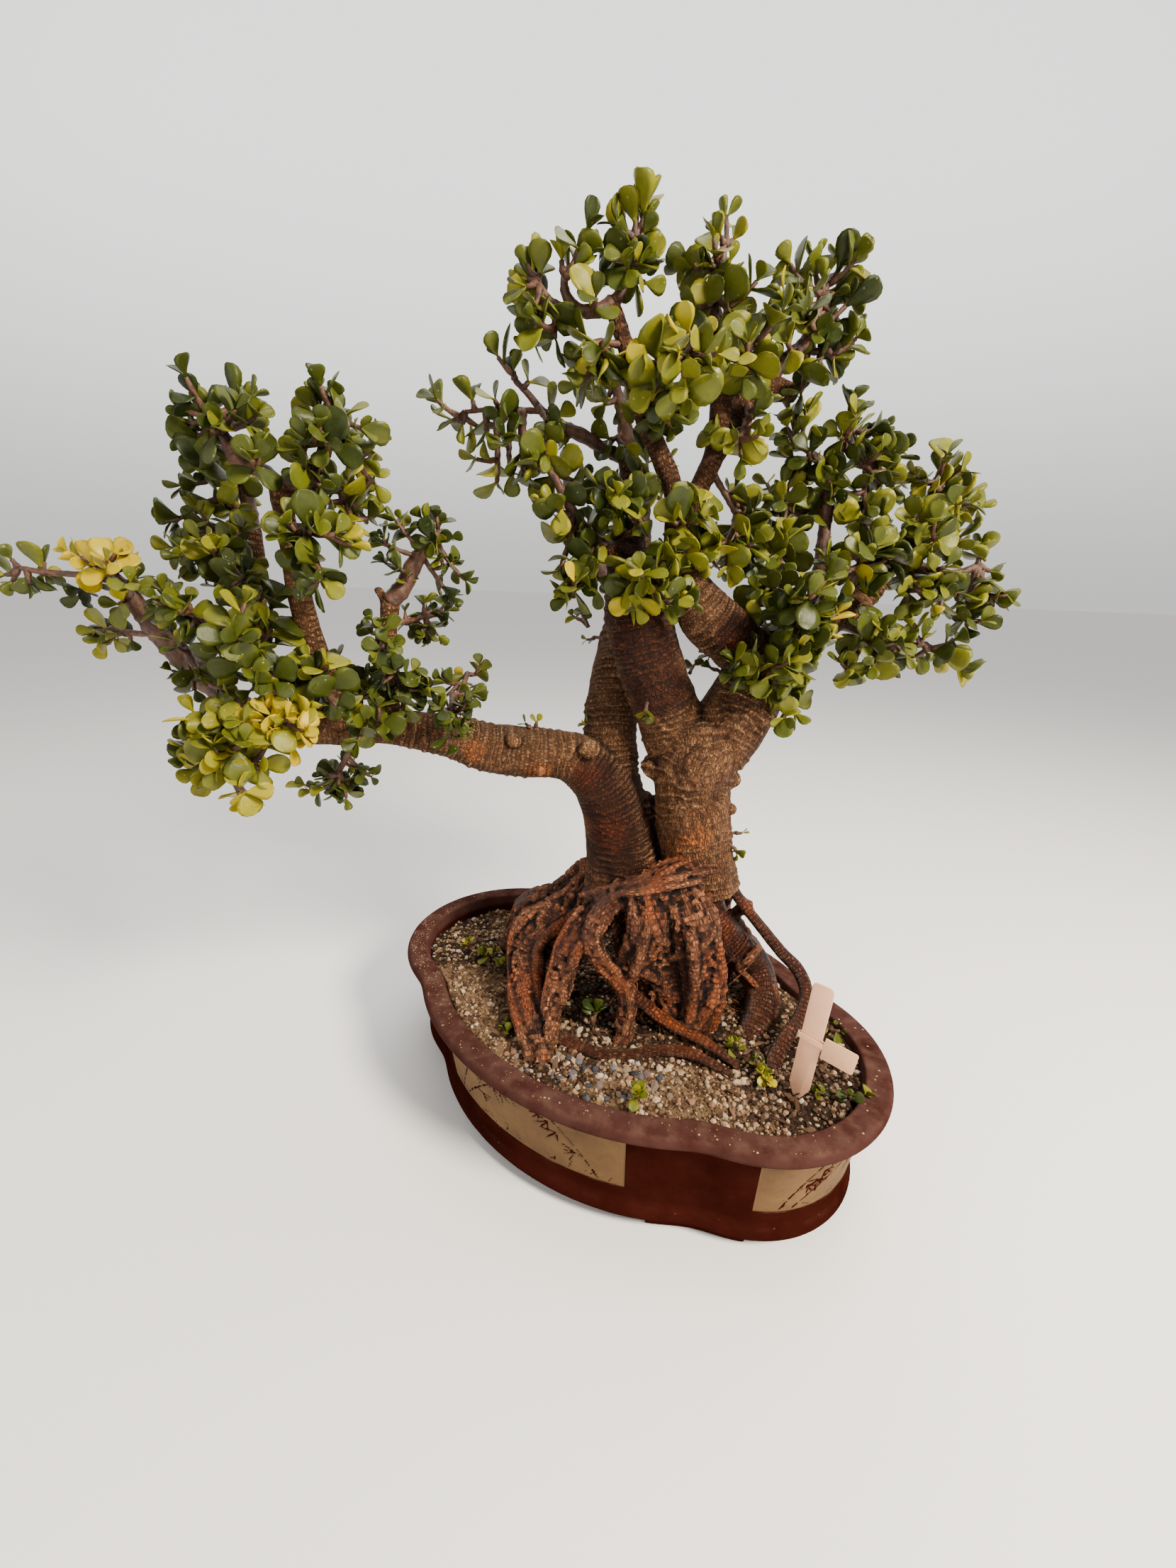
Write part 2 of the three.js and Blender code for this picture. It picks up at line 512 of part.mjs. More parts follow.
// A tapered round limb through points that each carry a radius. Grown, it is thicker and longer all
// round, to cut the hole or seat that leaves the running gap.
function limb(points, radii, sides, stepsPerSpan, grow = 0) {
  const path = new THREE.CatmullRomCurve3(points, false, 'centripetal');
  const steps = (points.length - 1) * stepsPerSpan;
  const frames = { tangents: [], normals: [] };
  const rings = [];
  let normal = new THREE.Vector3(0, 0, 1);
  for (let k = 0; k <= steps; k++) {
    const t = k / steps;
    const tangent = path.getTangent(t);
    normal = normal.clone().addScaledVector(tangent, -normal.dot(tangent));
    if (normal.length() < 0.2) normal = new THREE.Vector3(1, 0, 0).addScaledVector(tangent, -tangent.x);
    normal.normalize();
    const side = new THREE.Vector3().crossVectors(tangent, normal);
    const span = min(Math.floor(k / stepsPerSpan), points.length - 2);
    const part = k / stepsPerSpan - span;
    const radius = radii[span] * (1 - part) + radii[span + 1] * part + grow;
    const centre = path.getPoint(t);
    if (grow && k === 0) centre.addScaledVector(tangent, -grow);
    if (grow && k === steps) centre.addScaledVector(tangent, grow);
    rings.push(Array.from({ length: sides }, (_, i) => {
      const angle = (2 * PI * i) / sides;
      return centre.clone().addScaledVector(normal, radius * cos(angle))
        .addScaledVector(side, radius * sin(angle));
    }));
  }
  return loft(rings);
}

function woodLimb(path, sides, stepsPerSpan, grow) {
  return solidOf(limb(path.map(onTree), path.map((p) => p[3]), sides, stepsPerSpan, grow));
}

// A point of the mokko outline, brought in by `inset` along the outline's own normal.
function lipRadius(angle) {
  const { halfLength, endRadius, sideLength, sideWidth, notchBlend } = POT;
  const side = 1 / hypot(cos(angle) / sideLength, sin(angle) / sideWidth);
  const reach = halfLength - endRadius;
  const under = endRadius ** 2 - (reach * sin(angle)) ** 2;
  const end = under > 0 ? reach * abs(cos(angle)) + sqrt(under) : 0;
  const top = max(side, end);
  const both = Math.exp(notchBlend * (side - top)) + Math.exp(notchBlend * (end - top));
  return top + Math.log(both) / notchBlend;
}

function outlinePoint(angle, inset, z) {
  const at = (a) => new THREE.Vector2(cos(a), sin(a)).multiplyScalar(lipRadius(a));
  const along = at(angle + 0.01).sub(at(angle - 0.01)).normalize();
  const point = at(angle);
  return new THREE.Vector3(point.x - along.y * inset, point.y + along.x * inset, z);
}

// Even steps round the outline, with one step moved onto each notch.
function stepAngle(i) {
  const angle = (360 * i) / POT.sides;
  const notches = [POT.notchAngle, 180 - POT.notchAngle, 180 + POT.notchAngle, 360 - POT.notchAngle];
  return rad(notches.find((notch) => abs(notch - angle) < 180 / POT.sides) ?? angle);
}

function outlineRing(inset, z) {
  return Array.from({ length: POT.sides }, (_, i) => outlinePoint(stepAngle(i), inset, z));
}

function bodyInset(z) {
  const [low, high] = [OUTER_WALL[3], OUTER_WALL[4]];
  return low[0] + ((high[0] - low[0]) * (z - low[1])) / (high[1] - low[1]);
}

// A shallow window cut into one lobe of the wall, between two angles.
function panelCutter(middle, halfAngle) {
  const first = ((middle - halfAngle) * POT.sides) / 360;
  const steps = (2 * halfAngle * POT.sides) / 360;
  const { low, high, depth } = PANEL;
  const corners = [
    [bodyInset(low) + depth, low], [bodyInset(high) + depth, high], [bodyInset(high) - 4, high],
    [bodyInset(low) - 4, low]];
  const rings = Array.from({ length: steps + 1 }, (_, i) => {
    const angle = stepAngle(first + i);
    return corners.map(([inset, z]) => outlinePoint(angle, inset, z));
  });
  return solidOf(loft(rings));
}

function cylinder(radius, low, high, x, y, sides = 20) {
  const geometry = new THREE.CylinderGeometry(radius, radius, high - low, sides);
  geometry.rotateX(PI / 2);
  geometry.translate(x, y, (low + high) / 2);
  return solidOf(geometry);
}

function makeFoot(middle) {
  const steps = 2;
  const top = POT.underside + 1;
  const ends = [[FOOT.inner, 0], [FOOT.inner, top], [FOOT.outer, top], [FOOT.outer, 0]];
  const rings = Array.from({ length: steps + 1 }, (_, i) => {
    const angle = rad(middle - FOOT.halfAngle + (2 * FOOT.halfAngle * i) / steps);
    return ends.map(([inset, z]) => outlinePoint(angle, inset, z));
  });
  return solidOf(loft(rings));
}

function makePot() {
  let pot = solidOf(loft(OUTER_WALL.map(([inset, z]) => outlineRing(inset, z))));
  pot = pot.subtract(solidOf(loft(INNER_WALL.map(([inset, z]) => outlineRing(inset, z)))));
  for (const middle of [90, 270]) pot = pot.subtract(panelCutter(middle, PANEL.sideHalfAngle));
  for (const middle of [0, 180]) pot = pot.subtract(panelCutter(middle, PANEL.endHalfAngle));
  for (const side of [0, 180]) {
    pot = pot.add(makeFoot(side - POT.notchAngle)).add(makeFoot(side + POT.notchAngle));
  }
  pot = pot.add(cylinder(FOOT.centreRadius, 0, POT.underside + 1, 0, 0, 16));
  for (const x of [-DRAIN.x, DRAIN.x]) {
    pot = pot.subtract(cylinder(DRAIN.radius, POT.underside - 1, POT.floor + 1, x, 0, 12));
  }
  return pot;
}

function makeScreen(x) {
  const { screen, screenThickness, mesh, bar } = DRAIN;
  const low = POT.floor + GAP;
  const blank = new THREE.BoxGeometry(screen, screen, screenThickness);
  let plate = solidOf(blank.translate(x, 0, low + screenThickness / 2));
  for (const i of [-0.5, 0.5]) {
    for (const j of [-0.5, 0.5]) {
      const hole = new THREE.BoxGeometry(mesh, mesh, 4);
      plate = plate.subtract(solidOf(hole.translate(x + i * (mesh + bar), j * (mesh + bar), low)));
    }
  }
  return plate;
}

function smooth(from, to, value) {
  const t = min(1, max(0, (value - from) / (to - from)));
  return t * t * (3 - 2 * t);
}

function soilHeight(x, y) {
  const heapAt = onTree([20, -5, 0]);
  const heap = 1 - smooth(0, SOIL.heapRadius, hypot(x - heapAt.x, y - heapAt.y));
  const grit = sin(x * 0.31 + 1) * cos(y * 0.27) + 0.6 * sin(x * 0.17 - y * 0.23);
  return SOIL.level - SOIL.drop * smooth(15, 130, -0.6 * x + 0.8 * y) + SOIL.heap * heap + SOIL.grit * grit;
}

// The soil fills the pot wall to wall, a gap away from the clay.
function makeSoil(holes) {
  const wallInset = (z) => {
    const [low, high] = [INNER_WALL[1], INNER_WALL[2]];
    return low[0] + ((high[0] - low[0]) * (z - low[1])) / (high[1] - low[1]) + GAP;
  };
  const top = (share) => Array.from({ length: POT.sides }, (_, i) => {
    const lip = outlinePoint(stepAngle(i), wallInset(SOIL.level), 0);
    const edge = outlinePoint(stepAngle(i), wallInset(soilHeight(lip.x, lip.y) - 1), 0);
    const point = edge.multiplyScalar(share);
    return point.setZ(soilHeight(point.x, point.y));
  });
  const rings = [
    outlineRing(INNER_WALL[0][0] + GAP, POT.floor + GAP),
    outlineRing(wallInset(INNER_WALL[1][1]), INNER_WALL[1][1] + GAP),
    ...[1, 0.7, 0.3].map(top),
  ];
  let soil = solidOf(loft(rings));
  for (const hole of holes) soil = soil.subtract(hole);
  return soil;
}

function makeWood(grow) {
  const parts = [];
  const thick = ['right_trunk', 'left_leader', 'right_leader', 'cross_limb', 'back_trunk', 'left_limb'];
  for (const [name, path] of Object.entries(LIMBS)) {
    parts.push(woodLimb(path, thick.includes(name) ? 7 : 5, 1, grow));
  }
  for (const [name, path] of Object.entries(ROOTS)) {
    parts.push(woodLimb(path, name === 'root_core' ? 8 : 4, 1, grow));
  }
  for (const [u, v, z, radius] of KNOBS) {
    const centre = onTree([u, v, z]);
    const knob = new THREE.SphereGeometry(radius + grow, 6, 3).translate(centre.x, centre.y, centre.z);
    parts.push(solidOf(knob));
  }
  return parts.reduce((all, part) => all.add(part));
}

// One succulent leaf on its stalk, as one closed skin: a three-sided stalk, then a blade that is
// broadest past its middle and blunt at the tip, a little cupped above and keeled below.
function leafOnStalk(root, tip, facing, length, grow) {
  const along = tip.clone().sub(root).normalize();
  const across = new THREE.Vector3().crossVectors(facing, along).normalize();
  const up = new THREE.Vector3().crossVectors(along, across);
  const reach = tip.distanceTo(root);
  const blade = min(length, reach * LEAF.share);
  const start = reach - blade;
  const at = (distance, side, height) => root.clone().addScaledVector(along, distance)
    .addScaledVector(across, side).addScaledVector(up, height);
  const r = STALK_RADIUS + grow;
  const below = LEAF.keel + grow;
  const half = (LEAF.width * blade) / 2 + grow;
  const broadest = start + LEAF.broadest * blade;
  const rise = LEAF.cup * blade + grow;
  const points = [
    at(-grow, r, r * 0.6), at(-grow, -r, r * 0.6), at(-grow, 0, -r),
    at(start, r, r * 0.6), at(start, -r, r * 0.6),
    at(broadest, half, rise), at(broadest, -half, rise),
    at(reach + grow, LEAF.tip * half, rise), at(reach + grow, -LEAF.tip * half, rise),
    at(broadest, 0, -below),
  ];
  const [a, b, left, right, farLeft, farRight, keel] = [3, 4, 5, 6, 7, 8, 9];
  const triangles = [
    0, 2, 1, 0, b, a, 0, 1, b, 1, 2, b, 2, keel, b, 2, a, keel, 2, 0, a,
    a, b, left, b, right, left, left, right, farRight, left, farRight, farLeft,
    a, left, keel, left, farLeft, keel, farLeft, farRight, keel, farRight, right, keel, right, b, keel,
  ];
  return geometryFrom(points.flatMap((p) => [p.x, p.y, p.z]), triangles);
}

// The best few places for a leaf stalk to leave its stem: near the tip it feeds, and not where
// another stalk already leaves.
function stalkRoots(paths, tip, taken) {
  const places = [];
  for (const { path, thickness, reach } of paths) {
    const steps = Math.ceil(reach / 2);
    for (let k = 0; k <= steps; k++) {
      const point = path.getPoint(k / steps);
      const crowded = taken.some((other) => other.distanceTo(point) < 3.5 * STALK_RADIUS);
      const buried = (k / steps) * reach < thickness + 3;
      places.push({ point, cost: point.distanceTo(tip) + (buried ? 60 : 0) + (crowded ? 12 : 0) });
    }
  }
  return places.sort((p, q) => p.cost - q.cost).slice(0, JOIN.roots).map(({ point }) => point);
}

function boxOf(solid) {
  const { min: low, max: high } = solid.boundingBox();
  return new THREE.Box3(new THREE.Vector3(...low), new THREE.Vector3(...high));
}

// A leafy branch: its stems, and a leaf at the end of every stalk. Of a few seeded bends, a leaf
// takes the one that keeps it clear of other leaves, branches and wood, near its place, with the
// simplest joint to its stem. It is left off where none is clear.
function makeBough({ stems, tips }, random, obstacles, seats) {
  const near = obstacles.map((solid) => ({ solid, box: boxOf(solid) }));
  const crosses = (solid, list) => {
    const box = boxOf(solid);
    return list.some((other) => other.box.intersectsBox(box) && solid.intersect(other.solid).volume() > 0);
  };
  const paths = stems.map((stem) => {
    const path = new THREE.CatmullRomCurve3(stem.map(onTree), false, 'centripetal');
    return { path, thickness: stem[0][3], reach: path.getLength() };
  });
  const blades = [];
  const taken = [];
  let bough = stems.map((stem) => woodLimb(stem, 3, 1, 0)).reduce((all, part) => all.add(part));
  for (const place of tips) {
    const wanted = onTree(place);
    const roots = stalkRoots(paths, wanted, taken);
    const length = LEAF.length[0] + (LEAF.length[1] - LEAF.length[0]) * random();
    let best = null;
    for (let attempt = 0; attempt < JOIN.attempts; attempt++) {
      const root = roots[attempt % JOIN.roots];
      const facing = new THREE.Vector3(random() - 0.5, random() - 0.5, 0.2 + 0.4 * random()).normalize();
      const bend = new THREE.Vector3(random() - 0.5, random() - 0.5, random() - 0.5);
      const tip = wanted.clone().addScaledVector(bend, JOIN.bend * attempt);
      const collar = root.clone().lerp(tip, max(0, 1 - (length * 1.05) / root.distanceTo(tip)));
      const blade = solidOf(leafOnStalk(collar, tip, facing, length, GAP));
      const wide = solidOf(leafOnStalk(root, tip, facing, length, GAP));
      if (crosses(wide, near) || crosses(blade, blades)) continue;
      const joined = bough.add(solidOf(leafOnStalk(root, tip, facing, length, 0)));
      const cost = joined.numTri() - bough.numTri() + JOIN.stray * tip.distanceTo(wanted);
      if (!best || cost < best.cost) best = { cost, joined, blade, root };
      if (best.cost < JOIN.simple) break;
    }
    if (!best) continue;
    taken.push(best.root);
    blades.push({ solid: best.blade, box: boxOf(best.blade) });
    bough = best.joined;
  }
  for (const seat of seats) bough = bough.subtract(seat);
  return largest(bough);
}

function largest(solid) {
  return solid.decompose().sort((p, q) => q.volume() - p.volume())[0];
}

// The grower's label: a flat plastic strip with a bevelled foot and round shoulders.
const STAKE = {
  width: 12.7, length: 84, thickness: 1.1, point: 10.5, tip: 4.4,
  x: 154.6, y: -18.3, top: 168, lean: 3.7, tilt: 1,
};
const TAG = {
  width: 3.4, wrap: 0.5, flagLength: 19, flagTop: 6.9, flagHeight: 15, flagThickness: 0.6,
  below: 38.5, slope: 3.2,
};

function stakeFrame(geometry) {
  geometry.rotateY(rad(STAKE.lean));
  geometry.rotateX(rad(-STAKE.tilt));
  return geometry.translate(STAKE.x, STAKE.y, STAKE.top);
}

function stakeGeometry(grow) {
  const half = STAKE.width / 2 + grow;
  const shape = new THREE.Shape();
  shape.moveTo(-STAKE.tip / 2 - grow, -STAKE.length - grow);
  shape.lineTo(STAKE.tip / 2 + grow, -STAKE.length - grow);
  shape.lineTo(half, -STAKE.length + STAKE.point);
  shape.lineTo(half, -3);
  shape.quadraticCurveTo(half, 0, half - 3, 0);
  shape.lineTo(3 - half, 0);
  shape.quadraticCurveTo(-half, 0, -half, -3);
  shape.lineTo(-half, -STAKE.length + STAKE.point);
  const depth = STAKE.thickness + 2 * grow;
  const geometry = new THREE.ExtrudeGeometry(shape, { depth, bevelEnabled: false, curveSegments: 3 });
  return stakeFrame(geometry.translate(0, 0, -depth / 2).rotateX(PI / 2));
}

// A paper price tag: a narrow band looped round the stake, ending in a small flag.
function makeTag() {
  const { width, wrap, flagLength, flagTop, flagHeight, flagThickness, below, slope } = TAG;
  const inner = [STAKE.width / 2 + GAP, STAKE.thickness / 2 + GAP];
  const box = (x0, x1, y0, y1, z0, z1) => new THREE.BoxGeometry(x1 - x0, y1 - y0, z1 - z0)
    .translate((x0 + x1) / 2, (y0 + y1) / 2, (z0 + z1) / 2);
  const place = (geometry) => solidOf(stakeFrame(geometry.rotateY(rad(slope)).translate(0, 0, -below)));
  const slack = 1.2;
  const band = place(box(-inner[0] - slack - wrap, inner[0] + slack + wrap, -inner[1] - wrap, inner[1] + wrap,
    -width / 2, width / 2));
  const hollow = place(box(-inner[0] - slack, inner[0] + slack, -inner[1], inner[1], -width, width));
  const left = inner[0] + slack;
  const flag = place(box(left, left + flagLength, -inner[1] - flagThickness, -inner[1],
    flagTop - flagHeight, flagTop));
  return band.subtract(hollow).add(flag);
}

// Seedlings that came up in the soil: a short stem and two pairs of leaves. [u, v, height].
const SEEDLINGS = [[-19, -52, 16], [8, -116, 12], [-104, 31, 13]];

function seedlingPlan([u, v, size]) {
  const foot = onTree([u, v, 0]);
  const ground = soilHeight(foot.x, foot.y);
  const leaf = (turn, height) => [u + size * cos(turn), v + size * sin(turn), ground + size * height];
  return {
    stems: [[[u, v, ground - 6, 1.3], [u, v, ground + size, 1.1]]],
    tips: [leaf(0.4, 1.1), leaf(3.5, 1.1), leaf(2, 1.7), leaf(5.1, 1.7)],
  };
}

const bonsai = new THREE.Group();
function place(name, solid, material) {
  const mesh = new THREE.Mesh(geometryOf(solid), material);
  mesh.name = name;
  bonsai.add(mesh);
}

// Each branch is cut where it meets the wood or the foot of a branch placed before it.
const random = seeded(71);
const woodSeat = makeWood(GAP);
const seats = [woodSeat];
const boughs = new Map();
for (const [name, bough] of Object.entries(BOUGHS)) {
  boughs.set(name, makeBough(bough, random, [woodSeat, ...boughs.values()], seats));
  seats.push(...bough.stems.map((stem) => woodLimb(stem, 3, 1, GAP)));
}
const seedlingPlans = SEEDLINGS.map(seedlingPlan);
const seedlings = seedlingPlans.map((plan) => makeBough(plan, random, [woodSeat], [woodSeat]));
const seedlingHoles = seedlingPlans.map(({ stems }) => woodLimb(stems[0], 6, 1, 2 * GAP));
const pocketWidth = DRAIN.screen + 2 * GAP;
const pocketTop = POT.floor + DRAIN.screenThickness + 2 * GAP;
const screenPockets = [-DRAIN.x, DRAIN.x].map((x) => solidOf(
  new THREE.BoxGeometry(pocketWidth, pocketWidth, 4).translate(x, 0, pocketTop - 2)));
const soilPockets = [woodSeat, solidOf(stakeGeometry(GAP)), ...screenPockets, ...seedlingHoles];

place('pot', makePot(), COLOURS.clay);
place('drain_screen_east', makeScreen(DRAIN.x), COLOURS.screen);
place('drain_screen_west', makeScreen(-DRAIN.x), COLOURS.screen);
place('soil', makeSoil(soilPockets), COLOURS.soil);
place('tree_wood', makeWood(0), COLOURS.bark);
boughs.forEach((solid, name) => place(`bough_${name}`, solid, COLOURS.leaf));
seedlings.forEach((solid, i) => place(`seedling_${i + 1}`, solid, COLOURS.leaf));
place('plant_label', solidOf(stakeGeometry(0)), COLOURS.label);
place('price_tag', makeTag(), COLOURS.label);

export default bonsai;
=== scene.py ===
import math

import bmesh
import bpy
import numpy as np
from mathutils import Euler, Matrix, Vector


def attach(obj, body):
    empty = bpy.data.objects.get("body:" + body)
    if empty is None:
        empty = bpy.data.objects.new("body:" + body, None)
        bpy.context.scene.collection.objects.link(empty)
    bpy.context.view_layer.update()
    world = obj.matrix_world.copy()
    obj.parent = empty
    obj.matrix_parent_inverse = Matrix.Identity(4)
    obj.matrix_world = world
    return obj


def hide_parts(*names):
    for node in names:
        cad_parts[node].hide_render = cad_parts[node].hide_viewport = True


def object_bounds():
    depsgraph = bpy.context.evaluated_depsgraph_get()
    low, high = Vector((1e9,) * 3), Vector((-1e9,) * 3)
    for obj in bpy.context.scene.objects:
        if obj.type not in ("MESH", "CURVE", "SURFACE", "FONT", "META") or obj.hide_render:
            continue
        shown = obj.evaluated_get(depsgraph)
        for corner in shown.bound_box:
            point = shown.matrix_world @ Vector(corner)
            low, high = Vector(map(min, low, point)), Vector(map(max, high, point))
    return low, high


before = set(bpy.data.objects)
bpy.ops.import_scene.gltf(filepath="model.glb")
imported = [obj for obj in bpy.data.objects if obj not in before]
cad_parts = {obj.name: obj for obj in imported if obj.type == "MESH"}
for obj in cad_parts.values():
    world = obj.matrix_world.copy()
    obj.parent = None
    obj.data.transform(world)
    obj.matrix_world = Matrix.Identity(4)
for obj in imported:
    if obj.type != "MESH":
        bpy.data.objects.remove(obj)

cad_box = [list(corner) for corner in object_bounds()]

# The bonsai stands on a pale floor in soft studio light, seen close up from the front of the tree.
# The front of the tree is turned from the front of the pot, so places on the tree are given as
# u to the right, v to the back and z up from the pot's feet, in millimetres.
TREE_TURN = math.radians(36.4)
CAMERA_PLACE = (-27.7, -417.8, 385.8)
CAMERA_PITCH = math.radians(17.66)
CAMERA_ROLL = math.radians(1.76)
FOCAL_SHARE = 880 / 2212
FLOOR_RADIUS = 30


def on_tree(places):
    """Rows of u, v, z in millimetres as rows of x, y, z in metres on the pot's axes."""
    places = np.asarray(places, float)
    u, v, z = places[..., 0], places[..., 1], places[..., 2]
    c, s = math.cos(TREE_TURN), math.sin(TREE_TURN)
    return np.stack([u * c - v * s, u * s + v * c, z], -1) / 1000


def placed(name, data):
    """A new object in the scene."""
    made = bpy.data.objects.new(name, data)
    bpy.context.scene.collection.objects.link(made)
    return made


def shaped(name, shape, *materials):
    """A new object made of a bmesh, which is then freed."""
    mesh = bpy.data.meshes.new(name)
    shape.to_mesh(mesh)
    shape.free()
    for material in materials:
        mesh.materials.append(material)
    return placed(name, mesh)


def soft_light(name, place, aim, size, watts, colour):
    lamp = bpy.data.lights.new(name, "AREA")
    lamp.shape = "DISK"
    lamp.size = size
    lamp.energy = watts
    lamp.color = colour
    stand = placed(name, lamp)
    stand.location = Vector(on_tree(place))
    heading = Vector(on_tree(aim)) - stand.location
    stand.rotation_euler = heading.to_track_quat("-Z", "Y").to_euler()
    stand.visible_camera = False


lens = bpy.data.cameras.new("camera")
lens.sensor_width = 36
lens.lens = lens.sensor_width * FOCAL_SHARE
lens.clip_start = 0.01
camera = placed("camera", lens)
camera.matrix_world = (
    Matrix.Translation(on_tree(CAMERA_PLACE))
    @ Matrix.Rotation(TREE_TURN, 4, "Z")
    @ Matrix.Rotation(math.pi / 2 - CAMERA_PITCH, 4, "X")
    @ Matrix.Rotation(CAMERA_ROLL, 4, "Z")
)
bpy.context.scene.camera = camera

soft_light("window", (900, -850, 1150), (0, 0, 220), 0.42, 68, (1.0, 0.90, 0.76))
soft_light("fill", (-1100, -800, 800), (0, 0, 200), 1.2, 7, (1.0, 0.95, 0.90))
soft_light("sky", (150, 250, 1600), (0, 0, 300), 1.2, 14, (1.0, 0.97, 0.93))


def node(tree, kind, inputs=None, **settings):
    """A new node of a material or of a tree of geometry, with sockets linked or set to values."""
    made = tree.nodes.new(kind)
    for key, value in settings.items():
        setattr(made, key, value)
    for key, value in (inputs or {}).items():
        if isinstance(value, bpy.types.NodeSocket):
            tree.links.new(value, made.inputs[key])
        else:
            made.inputs[key].default_value = value
    return made


def mapped(value, low, high, to_low=0.0, to_high=1.0, way="LINEAR"):
    """A value brought from one range to another, in the node tree that it comes from."""
    ranges = {"Value": value, "From Min": low, "From Max": high, "To Min": to_low, "To Max": to_high}
    return node(value.id_data, "ShaderNodeMapRange", ranges, interpolation_type=way).outputs["Result"]


def upward(vector):
    return node(vector.id_data, "ShaderNodeSeparateXYZ", {0: vector}).outputs["Z"]


def new_material(name, roughness, **sockets):
    """A material with its tree, its shader and its surface coordinates."""
    material = bpy.data.materials.new(name)
    material.use_nodes = True
    tree = material.node_tree
    shader = tree.nodes["Principled BSDF"]
    shader.inputs["Roughness"].default_value = roughness
    for key, value in sockets.items():
        shader.inputs[key.replace("_", " ")].default_value = value
    place = node(tree, "ShaderNodeTexCoord").outputs["Object"]
    return material, tree, shader, place


studio = bpy.data.worlds.new("studio")
studio.use_nodes = True
tree = studio.node_tree
ahead = node(tree, "ShaderNodeTexCoord").outputs["Generated"]
behind = node(tree, "ShaderNodeVectorMath", {0: ahead, 1: (-math.sin(TREE_TURN), math.cos(TREE_TURN), 0)},
              operation="DOT_PRODUCT").outputs["Value"]
high = mapped(upward(ahead), -0.02, 0.45, 0.78, 1.9, "SMOOTHSTEP")
glow = mapped(behind, 0.25, 0.8, 0.50, high, "SMOOTHSTEP")
tree.nodes["Background"].inputs["Color"].default_value = (1.0, 0.985, 0.965, 1)
tree.links.new(glow, tree.nodes["Background"].inputs["Strength"])
bpy.context.scene.world = studio

floor_material, tree, shader, place = new_material("pale_floor", 0.9)
shader.inputs["Base Color"].default_value = (0.90, 0.885, 0.865, 1)
disc = bmesh.new()
bmesh.ops.create_circle(disc, cap_ends=True, segments=96, radius=FLOOR_RADIUS)
floor = shaped("floor", disc, floor_material)

# The pot is pressed from dark red-brown clay and fired without glaze. Seen from above it has four
# lobes that meet in shallow notches; its thick lip overhangs the wall, a moulding runs round its
# foot, and it stands on four feet under the notches and one in the middle.
HALF_LENGTH, END_RADIUS = 0.200, 0.093
SIDE_LENGTH, SIDE_WIDTH = 0.169, 0.133
NOTCH_BLEND = 360
NOTCH_ANGLE = 38
WALL_FOOT, WALL_TOP = (19, 21), (10, 82)
PANEL_LOW, PANEL_HIGH, PANEL_DEPTH = 31, 78, 0.8
PANELS = {"front": (270, 36), "back": (90, 36), "east": (0, 27.5), "west": (180, 27.5)}
PANEL_EDGE = 0.15
ROUNDING_STEPS = 5
COLUMNS = 288
UNDERSIDE, POT_FLOOR = 7, 15
FOOT_OUTER, FOOT_INNER, CENTRE_FOOT = 21, 37, 30
FOOT_SECTION = [(36.6, 0.9), (35.6, 0), (22.4, 0), (21.4, 0.9), (FOOT_OUTER, 4), (FOOT_OUTER, UNDERSIDE + 1),
                (FOOT_INNER, UNDERSIDE + 1), (FOOT_INNER, 4)]
FOOT_TURNS = [-10, -9.6, -8.8, *range(-8, 9, 2), 8.8, 9.6, 10]
FOOT_END_LIFTS = [0.0012, 0.0004]
CENTRE_FOOT_SIDES = 48
DRAIN_RADIUS, DRAIN_X, DRILL_LENGTH = 0.010, 0.075, 0.04
HAND_WORK = 0.00025


def lip_radius(angle):
    side = 1 / np.hypot(np.cos(angle) / SIDE_LENGTH, np.sin(angle) / SIDE_WIDTH)
    reach = HALF_LENGTH - END_RADIUS
    under = END_RADIUS**2 - (reach * np.sin(angle)) ** 2
    end = np.where(under > 0, reach * np.abs(np.cos(angle)) + np.sqrt(np.maximum(under, 0)), 0)
    return np.logaddexp(NOTCH_BLEND * side, NOTCH_BLEND * end) / NOTCH_BLEND


def outline(angle, inset):
    """Places on the pot's outline in metres, brought in by `inset` millimetres."""
    angle = np.asarray(angle, float)

    def lip(at):
        return np.stack([np.cos(at), np.sin(at)], -1) * lip_radius(at)[..., None]

    along = lip(angle + 0.01) - lip(angle - 0.01)
    along /= np.linalg.norm(along, axis=-1, keepdims=True)
    inward = np.stack([-along[..., 1], along[..., 0]], -1)
    return lip(angle) + inward * np.asarray(inset)[..., None] / 1000


def level_ring(angles, inset, height):
    """A row of places on the outline at one height."""
    return np.column_stack([outline(angles, inset), np.full(len(angles), height / 1000)])


def random_waves(places, size, seed):
    """Smooth random values from 0 to 1 at each place, with one wave about every `size`."""
    cell = np.asarray(places, float) / size + seed * 17.31
    base = np.floor(cell).astype(np.int64)
    part = cell - base
    part = part * part * (3 - 2 * part)
    total = 0
    for corner in range(8):
        step = np.array([corner & 1, corner >> 1 & 1, corner >> 2 & 1])
        key = (base + step) @ np.array([73856093, 19349663, 83492791])
        key = ((key ^ (key >> 13)) * 1274126177) & 0x7FFFFFFF
        key = (key ^ (key >> 15)) & 0xFFFF
        total = total + np.prod(np.where(step, part, 1 - part), axis=-1) * key / 0xFFFF
    return total


def smooth_step(low, high, value):
    share = np.clip((np.asarray(value, float) - low) / (high - low), 0, 1)
    return share * share * (3 - 2 * share)


def set_smooth(piece, smooth=True, sharp=None):
    """Shades the faces smooth or flat, with edges left sharp past an angle in degrees."""
    piece.data.polygons.foreach_set("use_smooth", [smooth] * len(piece.data.polygons))
    if sharp:
        piece.data.set_sharp_from_angle(angle=math.radians(sharp))


